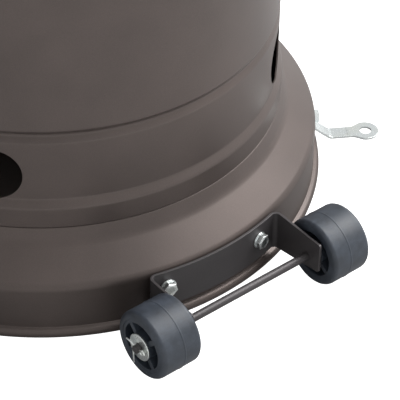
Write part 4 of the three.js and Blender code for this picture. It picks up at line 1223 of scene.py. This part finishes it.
    def strap(self):
        """Woven belt round the bottle and the uprights, with a buckle at the front."""
        belt = reach("gas_bottle") + 0.0008
        bar = -low("upright_1").y + 0.0008
        spots = sorted(azimuth_of(middle(f"upright_foot_bolt_{n}")) % 360 for n in (1, 2, 3))
        corner = math.atan(0.015 / bar)
        corner_reach = bar / math.cos(corner)
        tangent = math.degrees(corner + math.acos(belt / corner_reach))
        loop = []
        for k, spot in enumerate(spots):
            following = spots[k + 1] if k + 1 < len(spots) else spots[0] + 360
            loop += arc((0, 0), corner_reach, spot - 90 - math.degrees(corner), spot - 90 + math.degrees(corner), 1)
            loop += arc((0, 0), belt, spot - 90 + tangent, following - 90 - tangent, 40)
        bottom = low("bottle_strap").z
        top = high("bottle_strap").z
        mesh = bmesh.new()
        rows = [[mesh.verts.new((x, y, z)) for x, y in loop] for z in (bottom, top)]
        for k in range(len(loop)):
            after = (k + 1) % len(loop)
            mesh.faces.new((rows[0][k], rows[0][after], rows[1][after], rows[1][k]))
        bmesh.ops.recalc_face_normals(mesh, faces=mesh.faces)
        bmesh.ops.solidify(mesh, geom=mesh.faces[:], thickness=-0.0015)
        bmesh.ops.recalc_face_normals(mesh, faces=mesh.faces)
        piece("strap_belt", mesh, "frame", "webbing", ["bottle_strap"])
        frame_bar = drilled(block((0.046, 0.004, 0.036), (0, 0, 0), 0.0012),
                            [block((0.032, 0.02, 0.010), (0, 0, 0.007), 0.001), block((0.032, 0.02, 0.008), (0, 0, -0.009), 0.001)])
        spot = Vector((0.02, math.sqrt(belt ** 2 - 0.02 ** 2) + 0.0042, (bottom + top) / 2))
        buckle = moved(frame_bar, Matrix.Translation(spot) @ Matrix.Rotation(-math.asin(0.02 / belt), 4, "Z"))
        piece("strap_buckle", buckle, "frame", "black")


# ------------------------------------------------------------------ post

class HEATER_OT_post(bpy.types.Operator):
    """Post tube with its two flanges"""

    bl_idname = "heater.post"
    bl_label = "Post"

    def execute(self, context):
        radius = reach("post")
        bottom = low("post").z
        top = high("post").z
        tube = spun(softened([(radius - 0.002, bottom), (radius, bottom, 0.0005), (radius, top, 0.0005),
                              (radius - 0.002, top)], 3), 96)
        piece("post_tube", tube, "frame", "bronze", ["post"])
        holes = [moved(pin(0.0043, 0.03, 32), Matrix.Translation(middle(f"post_foot_bolt_{n}") - 0.015 * UP))
                 for n in (1, 2, 3)]
        foot = drilled(self.flange(low("post_foot").z, high("post_foot").z, 1), holes)
        piece("lower_flange", foot, "frame", "dark_bronze", ["post_foot"])
        head = self.flange(high("head_flange").z, low("head_flange").z, -1)
        piece("upper_flange", head, "frame", "dark_bronze", ["head_flange"])
        for azimuth in (0, 90, 180, 270):
            screw = merged(moved(hexagon(0.008, 0.004), Matrix.Translation((0, 0, 0.0004))), pin(0.0025, 0.003, 16))
            shape = turned_to(screw, polar(azimuth, 1.0), polar(azimuth, 0.0338, low("head_flange").z + 0.016))
            piece(f"clamp_screw_{azimuth}", shape, "frame", "zinc")
        return {"FINISHED"}

    def flange(self, face, end, direction):
        """A disc with a socket and a weld fillet between them."""
        back = face + direction * 0.005
        return spun(softened([
            (0.022, face), (0.058, face, 0.0008), (0.058, back, 0.0015), (0.034, back, 0.004),
            (0.034, end, 0.0012), (0.0303, end, 0.0008), (0.0303, back), (0.022, back)], 5), 96)


# ------------------------------------------------------------------ control housing

class HEATER_OT_controls(bpy.types.Operator):
    """Control housing, gas valve, knob and igniter"""

    bl_idname = "heater.controls"
    bl_label = "Controls"

    def execute(self, context):
        self.housing()
        self.gas_valve()
        self.knob()
        self.igniter()
        return {"FINISHED"}

    def housing(self):
        bottom = low("control_housing").z
        top = high("control_housing").z
        wide = reach("control_housing")
        line = joint_pos("knob_turn").z
        path = softened([(0.022, bottom), (0.092, bottom, 0.008), (wide, top - 0.012, 0.004), (wide, top)], 8)
        igniter = azimuth_of(middle("igniter_button"))
        cutters = [drill(180, line, 0.006, 0.07, 0.12, 48), drill(igniter, line, 0.0104, 0.07, 0.12, 48)]
        for azimuth in (-60, -30, 0, 30, 60):
            slot = block((0.0035, 0.04, 0.030), (0, 0, 0), 0.0016, 4)
            turn = Matrix.Rotation(math.radians(azimuth), 4, "Z")
            cutters.append(moved(slot, Matrix.Translation(polar(azimuth, 0.097, top - 0.040)) @ turn))
        shell = drilled(spun(walled(path, 0.0015), 128), cutters)
        piece("housing_shell", shell, "frame", "bronze", ["control_housing"])

    def gas_valve(self):
        bottom = low("gas_valve")
        top = high("gas_valve")
        line = joint_pos("knob_turn").z
        body = block((0.046, 0.044, 0.052), (0, 0, line), 0.0025, 3)
        socket = moved(pin(0.006, 0.002, 24), Matrix.Translation((0, 0, bottom.z - 0.0001)))
        outlet = spun(softened([(0.0, line + 0.025), (0.013, line + 0.025), (0.013, line + 0.031, 0.001),
                                (0.010, line + 0.032, 0.001), (0.010, top.z, 0.001), (0.0, top.z)], 3), 48, False)
        plugs = [turned_to(hexagon(0.012, 0.006), ACROSS * side, (side * 0.0229, 0.006, line - 0.008))
                 for side in (-1, 1)]
        piece("valve_block", merged(drilled(body, [socket]), outlet, *plugs), "frame", "brass", ["gas_valve"])
        start = low("knob_stem").y
        length = high("knob_stem").y - start
        stem = moved(pin(0.004, length, 40, 0.0006), Matrix.Translation((0, 0, start)))
        piece("stem_rod", towards_front(stem, line), "knob_stem", "zinc", ["knob_stem"])

    def knob(self):
        line = joint_pos("knob_turn").z
        back = low("control_knob").y
        end = high("control_knob").y
        face = back + 0.027
        skirt = spun(softened([(0.0043, back), (0.028, back, 0.0006), (0.028, back + 0.008, 0.0015),
                               (0.0225, face - 0.004, 0.006), (0.0195, face, 0.003), (0.0043, face)], 5), 128)
        flutes = []
        for k in range(24):
            rib = pin(0.0011, 0.0085, 10, 0.0005)
            flutes.append(about_z(moved(rib, Matrix.Translation((0.0279, 0, back + 0.0005))), 15.0 * k))
        pushed = high("knob_stem").y + 0.0047
        bore = moved(pin(0.0043, pushed - back, 32), Matrix.Translation((0, 0, back)))
        bar = drilled(block((0.010, 0.052, 0.014), (0, 0, end - 0.007), 0.0025, 4), [bore])
        body = towards_front(merged(skirt, bar, *flutes), line)
        piece("knob_body", body, "control_knob", "black", ["control_knob"])
        mark = block((0.0014, 0.013, 0.0008), (0, -0.017, end), 0.0003)
        piece("knob_mark", towards_front(mark, line), "control_knob", "ivory")

    def igniter(self):
        azimuth = azimuth_of(middle("igniter_button"))
        line = joint_pos("knob_turn").z
        face = 0.1015
        bezel = spun(softened([
            (0.0084, 0.066), (0.010, 0.066), (0.010, face), (0.013, face, 0.0004), (0.0125, face + 0.0035, 0.0015),
            (0.0084, face + 0.0035, 0.0008)], 4), 64)
        piece("igniter_ring", turned_to(bezel, polar(azimuth, 1.0), (0, 0, line)), "frame", "black",
              ["igniter_bezel"])
        cap = moved(pin(0.008, 0.036, 56, 0.0022), Matrix.Translation((0, 0, 0.076)))
        piece("igniter_cap", turned_to(cap, polar(azimuth, 1.0), (0, 0, line)), "igniter_button", "red",
              ["igniter_button"])


# ------------------------------------------------------------------ burner, emitter and reflector

class HEATER_OT_burner(bpy.types.Operator):
    """Burner deck, cup, pilot, thermocouple and perforated emitter"""

    bl_idname = "heater.burner"
    bl_label = "Burner"

    def execute(self, context):
        self.deck()
        self.pilot()
        self.emitter()
        return {"FINISHED"}

    def deck(self):
        radius = reach("burner_deck")
        bottom = low("burner_deck").z
        top = high("burner_deck").z
        plate = spun(softened([(0.0, bottom), (radius, bottom, 0.0006), (radius, top, 0.0006), (0.0, top)], 2),
                     96, False)
        heads = []
        for k in range(3):
            spot = polar(60 + 120 * k, 0.088, top)
            heads.append(moved(pin(0.004, 0.0022, 20, 0.0012), Matrix.Translation(spot)))
        piece("deck_plate", merged(plate, *heads), "frame", "steel", ["burner_deck"])
        foot = low("burner_cup").z
        cup = spun(softened([(0.0, foot), (0.032, foot), (0.044, foot + 0.020, 0.003), (0.044, foot + 0.042, 0.002),
                             (0.036, foot + 0.048, 0.003), (0.0, foot + 0.054)], 4), 96, False)
        ports = []
        for row, height in enumerate((0.024, 0.030, 0.036)):
            for k in range(24):
                azimuth = 15.0 * k + 7.5 * (row % 2)
                ports.append(drill(azimuth, foot + height, 0.0016, 0.040, 0.046, 10))
        piece("gas_cup", drilled(cup, [merged(*ports)]), "frame", "steel", ["burner_cup"])

    def pilot(self):
        node = "pilot_burner"
        foot = low(node).z
        spot = middle(node).xy.to_3d()
        tube = spun(softened([(0.0, 0.0), (0.005, 0.0), (0.005, 0.010, 0.001), (0.0032, 0.012), (0.0032, 0.034),
                              (0.0048, 0.036, 0.0008), (0.0048, 0.0455, 0.0008), (0.0, 0.046)], 3), 32, False)
        piece("pilot_jet", moved(tube, Matrix.Translation(spot + foot * UP)), "frame", "steel", [node])
        node = "thermocouple"
        foot = low(node).z
        rod = spun(softened([(0.0, 0.0), (0.0024, 0.0), (0.0024, 0.030, 0.0006), (0.0017, 0.032), (0.0017, 0.056, 0.001),
                             (0.0, 0.058)], 3), 24, False)
        spot = middle(node).xy.to_3d()
        piece("flame_probe", moved(rod, Matrix.Translation(spot + foot * UP)), "frame", "brass", [node])

    def emitter(self):
        """Cone of perforated sheet between two plain bands."""
        bottom = low("emitter_screen").z
        top = high("emitter_screen").z
        wide = reach("emitter_screen")
        narrow = 0.092
        columns, rows, corners = 72, 26, 8
        first, last = bottom + 0.024, top - 0.022

        def skin(turn, height):
            share = (height - bottom - 0.004) / (top - bottom - 0.004)
            distance = narrow + (wide - narrow) * share
            return (distance * math.cos(turn), distance * math.sin(turn), height)

        mesh = bmesh.new()
        tall = (last - first) / rows
        step = 2 * math.pi / columns
        posts = [[mesh.verts.new(skin(k * step, first + row * tall)) for k in range(columns)]
                 for row in range(rows + 1)]
        for row in range(rows):
            for k in range(columns):
                frame_corners = [posts[row][k], posts[row][(k + 1) % columns],
                                 posts[row + 1][(k + 1) % columns], posts[row + 1][k]]
                ring = []
                for c in range(corners):
                    turn = math.radians(225 + 360 * c / corners)
                    ring.append(mesh.verts.new(skin((k + 0.5 + 0.34 * math.cos(turn)) * step,
                                                    first + (row + 0.5 + 0.34 * math.sin(turn)) * tall)))
                for side in range(4):
                    near = [ring[(2 * side + c) % corners] for c in range(3)]
                    mesh.faces.new([frame_corners[side], frame_corners[(side + 1) % 4], near[2], near[1], near[0]])
        for row, height in ((posts[0], bottom + 0.004), (posts[-1], top)):
            edge = [mesh.verts.new(skin(k * step, height)) for k in range(columns)]
            for k in range(columns):
                after = (k + 1) % columns
                mesh.faces.new((row[k], row[after], edge[after], edge[k]))
        bmesh.ops.recalc_face_normals(mesh, faces=mesh.faces)
        bmesh.ops.solidify(mesh, geom=mesh.faces[:], thickness=0.0008)
        bmesh.ops.recalc_face_normals(mesh, faces=mesh.faces)
        lip = spun(walled(softened([(narrow + 0.006, bottom), (narrow, bottom + 0.004, 0.002),
                                    (narrow + 0.0012, bottom + 0.012)], 3), -0.0012), 96)
        piece("emitter_cone", merged(mesh, lip), "frame", "heated", ["emitter_screen"])
        outer = reach("emitter_top")
        head = high("emitter_top").z
        path = softened([(0.0, head), (outer, head, 0.003), (outer, low("emitter_top").z)], 6)
        piece("emitter_cap", spun(walled(path, -0.0014), 128, False), "frame", "heated", ["emitter_top"])


class HEATER_OT_reflector(bpy.types.Operator):
    """Spun reflector on studs with wing nuts"""

    bl_idname = "heater.reflector"
    bl_label = "Reflector"

    def execute(self, context):
        rim = reach("reflector")
        foot = low("reflector").z
        top = high("reflector").z
        drop = top - foot - 0.008
        flat = 0.112
        hub = softened([(0.0, top), (0.040, top), (0.044, top - 0.0012, 0.002), (0.058, top - 0.0012, 0.002),
                        (0.062, top, 0.002)], 3)
        dome = []
        for k in range(25):
            share = k / 24
            dome.append(Vector((flat + share * (rim - 0.006 - flat), top - drop * share ** 1.35)))
        edge = softened([dome[-1], (rim - 0.0003, foot + 0.0055, 0.003), (rim, foot + 0.0025, 0.001),
                         (rim - 0.0022, foot, 0.002), (rim - 0.0050, foot + 0.0022)], 4)[1:]
        cutters = [moved(pin(0.0032, 0.02, 24), Matrix.Translation(middle(f"wing_nut_{n}").xy.to_3d() + (top - 0.01) * UP))
                   for n in (1, 2, 3)]
        dish = drilled(spun(walled(hub + dome + edge, -0.0012), 192, False), cutters)
        piece("reflector_dish", dish, "frame", "aluminium", ["reflector"], sharp=50)
        for number in (1, 2, 3):
            self.stud(number)
            self.wing_nut(number)
        return {"FINISHED"}

    def stud(self, number):
        node = f"reflector_stud_{number}"
        bottom = low(node).z
        tip = high(node).z
        shoulder = high("reflector").z - 0.0015
        spacer = raised(arc((0, 0), 0.006, 0, 300, 5), bottom, shoulder, 0.0006)
        thread = [(0.0, shoulder - 0.002), (0.0029, shoulder - 0.002)]
        steps = int((tip - shoulder - 0.002) / 0.001)
        for k in range(steps):
            height = shoulder + 0.001 + 0.001 * k
            thread += [(0.0026, height), (0.0029, height + 0.0004)]
        thread += [(0.0024, tip), (0.0, tip)]
        shape = merged(spacer, spun(thread, 24, False))
        piece(f"threaded_stud_{number}", moved(shape, Matrix.Translation(middle(node).xy.to_3d())), "frame", "zinc",
              [node])

    def wing_nut(self, number):
        node = f"wing_nut_{number}"
        bottom = low(node).z
        hub = spun(softened([(0.0032, 0.0), (0.0070, 0.0, 0.0006), (0.0055, 0.010, 0.0012), (0.0032, 0.010, 0.0004)], 3), 40)
        wings = []
        for side in (-1, 1):
            outline = softened([(0.0042, 0.0015, 0.001), (0.0090, 0.0035, 0.003), (0.0165, 0.0105, 0.003),
                                (0.0150, 0.0163, 0.003), (0.0085, 0.0140, 0.003), (0.0042, 0.0090, 0.001)], 4)
            wing = raised(outline, -0.0011, 0.0011, 0.0008, 3)
            stand = Matrix.Rotation(math.pi / 2, 4, "X")
            wings.append(moved(wing, Matrix.Rotation(0 if side > 0 else math.pi, 4, "Z") @ stand))
        turn = Matrix.Rotation(math.radians(azimuth_of(middle(node))), 4, "Z")
        spot = Matrix.Translation(middle(node).xy.to_3d() + bottom * UP)
        piece(f"wing_clamp_{number}", moved(merged(hub, *wings), spot @ turn), "frame", "zinc", [node])


# ------------------------------------------------------------------ panel and order of work

PIECE_OPERATORS = (
    HEATER_OT_stage,
    HEATER_OT_base,
    HEATER_OT_ground_tabs,
    HEATER_OT_wheel_bracket,
    HEATER_OT_wheels,
    HEATER_OT_cover,
    HEATER_OT_uprights,
    HEATER_OT_bottle,
    HEATER_OT_post,
    HEATER_OT_controls,
    HEATER_OT_burner,
    HEATER_OT_reflector,
)


class HEATER_PT_panel(bpy.types.Panel):
    """Buttons for the heater's pieces"""

    bl_label = "Patio Heater"
    bl_space_type = "VIEW_3D"
    bl_region_type = "UI"
    bl_category = "Heater"

    def draw(self, context):
        for made in PIECE_OPERATORS:
            self.layout.operator(made.bl_idname)
        for group in (shape_sizes(), colours()):
            for name in group.__annotations__:
                self.layout.prop(group, name)


CLASSES = (HeaterShape, HeaterColours, *PIECE_OPERATORS, HEATER_PT_panel)


def register():
    for made in CLASSES:
        bpy.utils.register_class(made)
    bpy.types.Scene.heater_shape = bpy.props.PointerProperty(type=HeaterShape)
    bpy.types.Scene.heater_colours = bpy.props.PointerProperty(type=HeaterColours)


def unregister():
    del bpy.types.Scene.heater_shape
    del bpy.types.Scene.heater_colours
    for made in reversed(CLASSES):
        bpy.utils.unregister_class(made)


def main():
    register()
    for made in PIECE_OPERATORS:
        group, name = made.bl_idname.split(".")
        getattr(getattr(bpy.ops, group), name)()


if __name__ == "__main__":
    main()
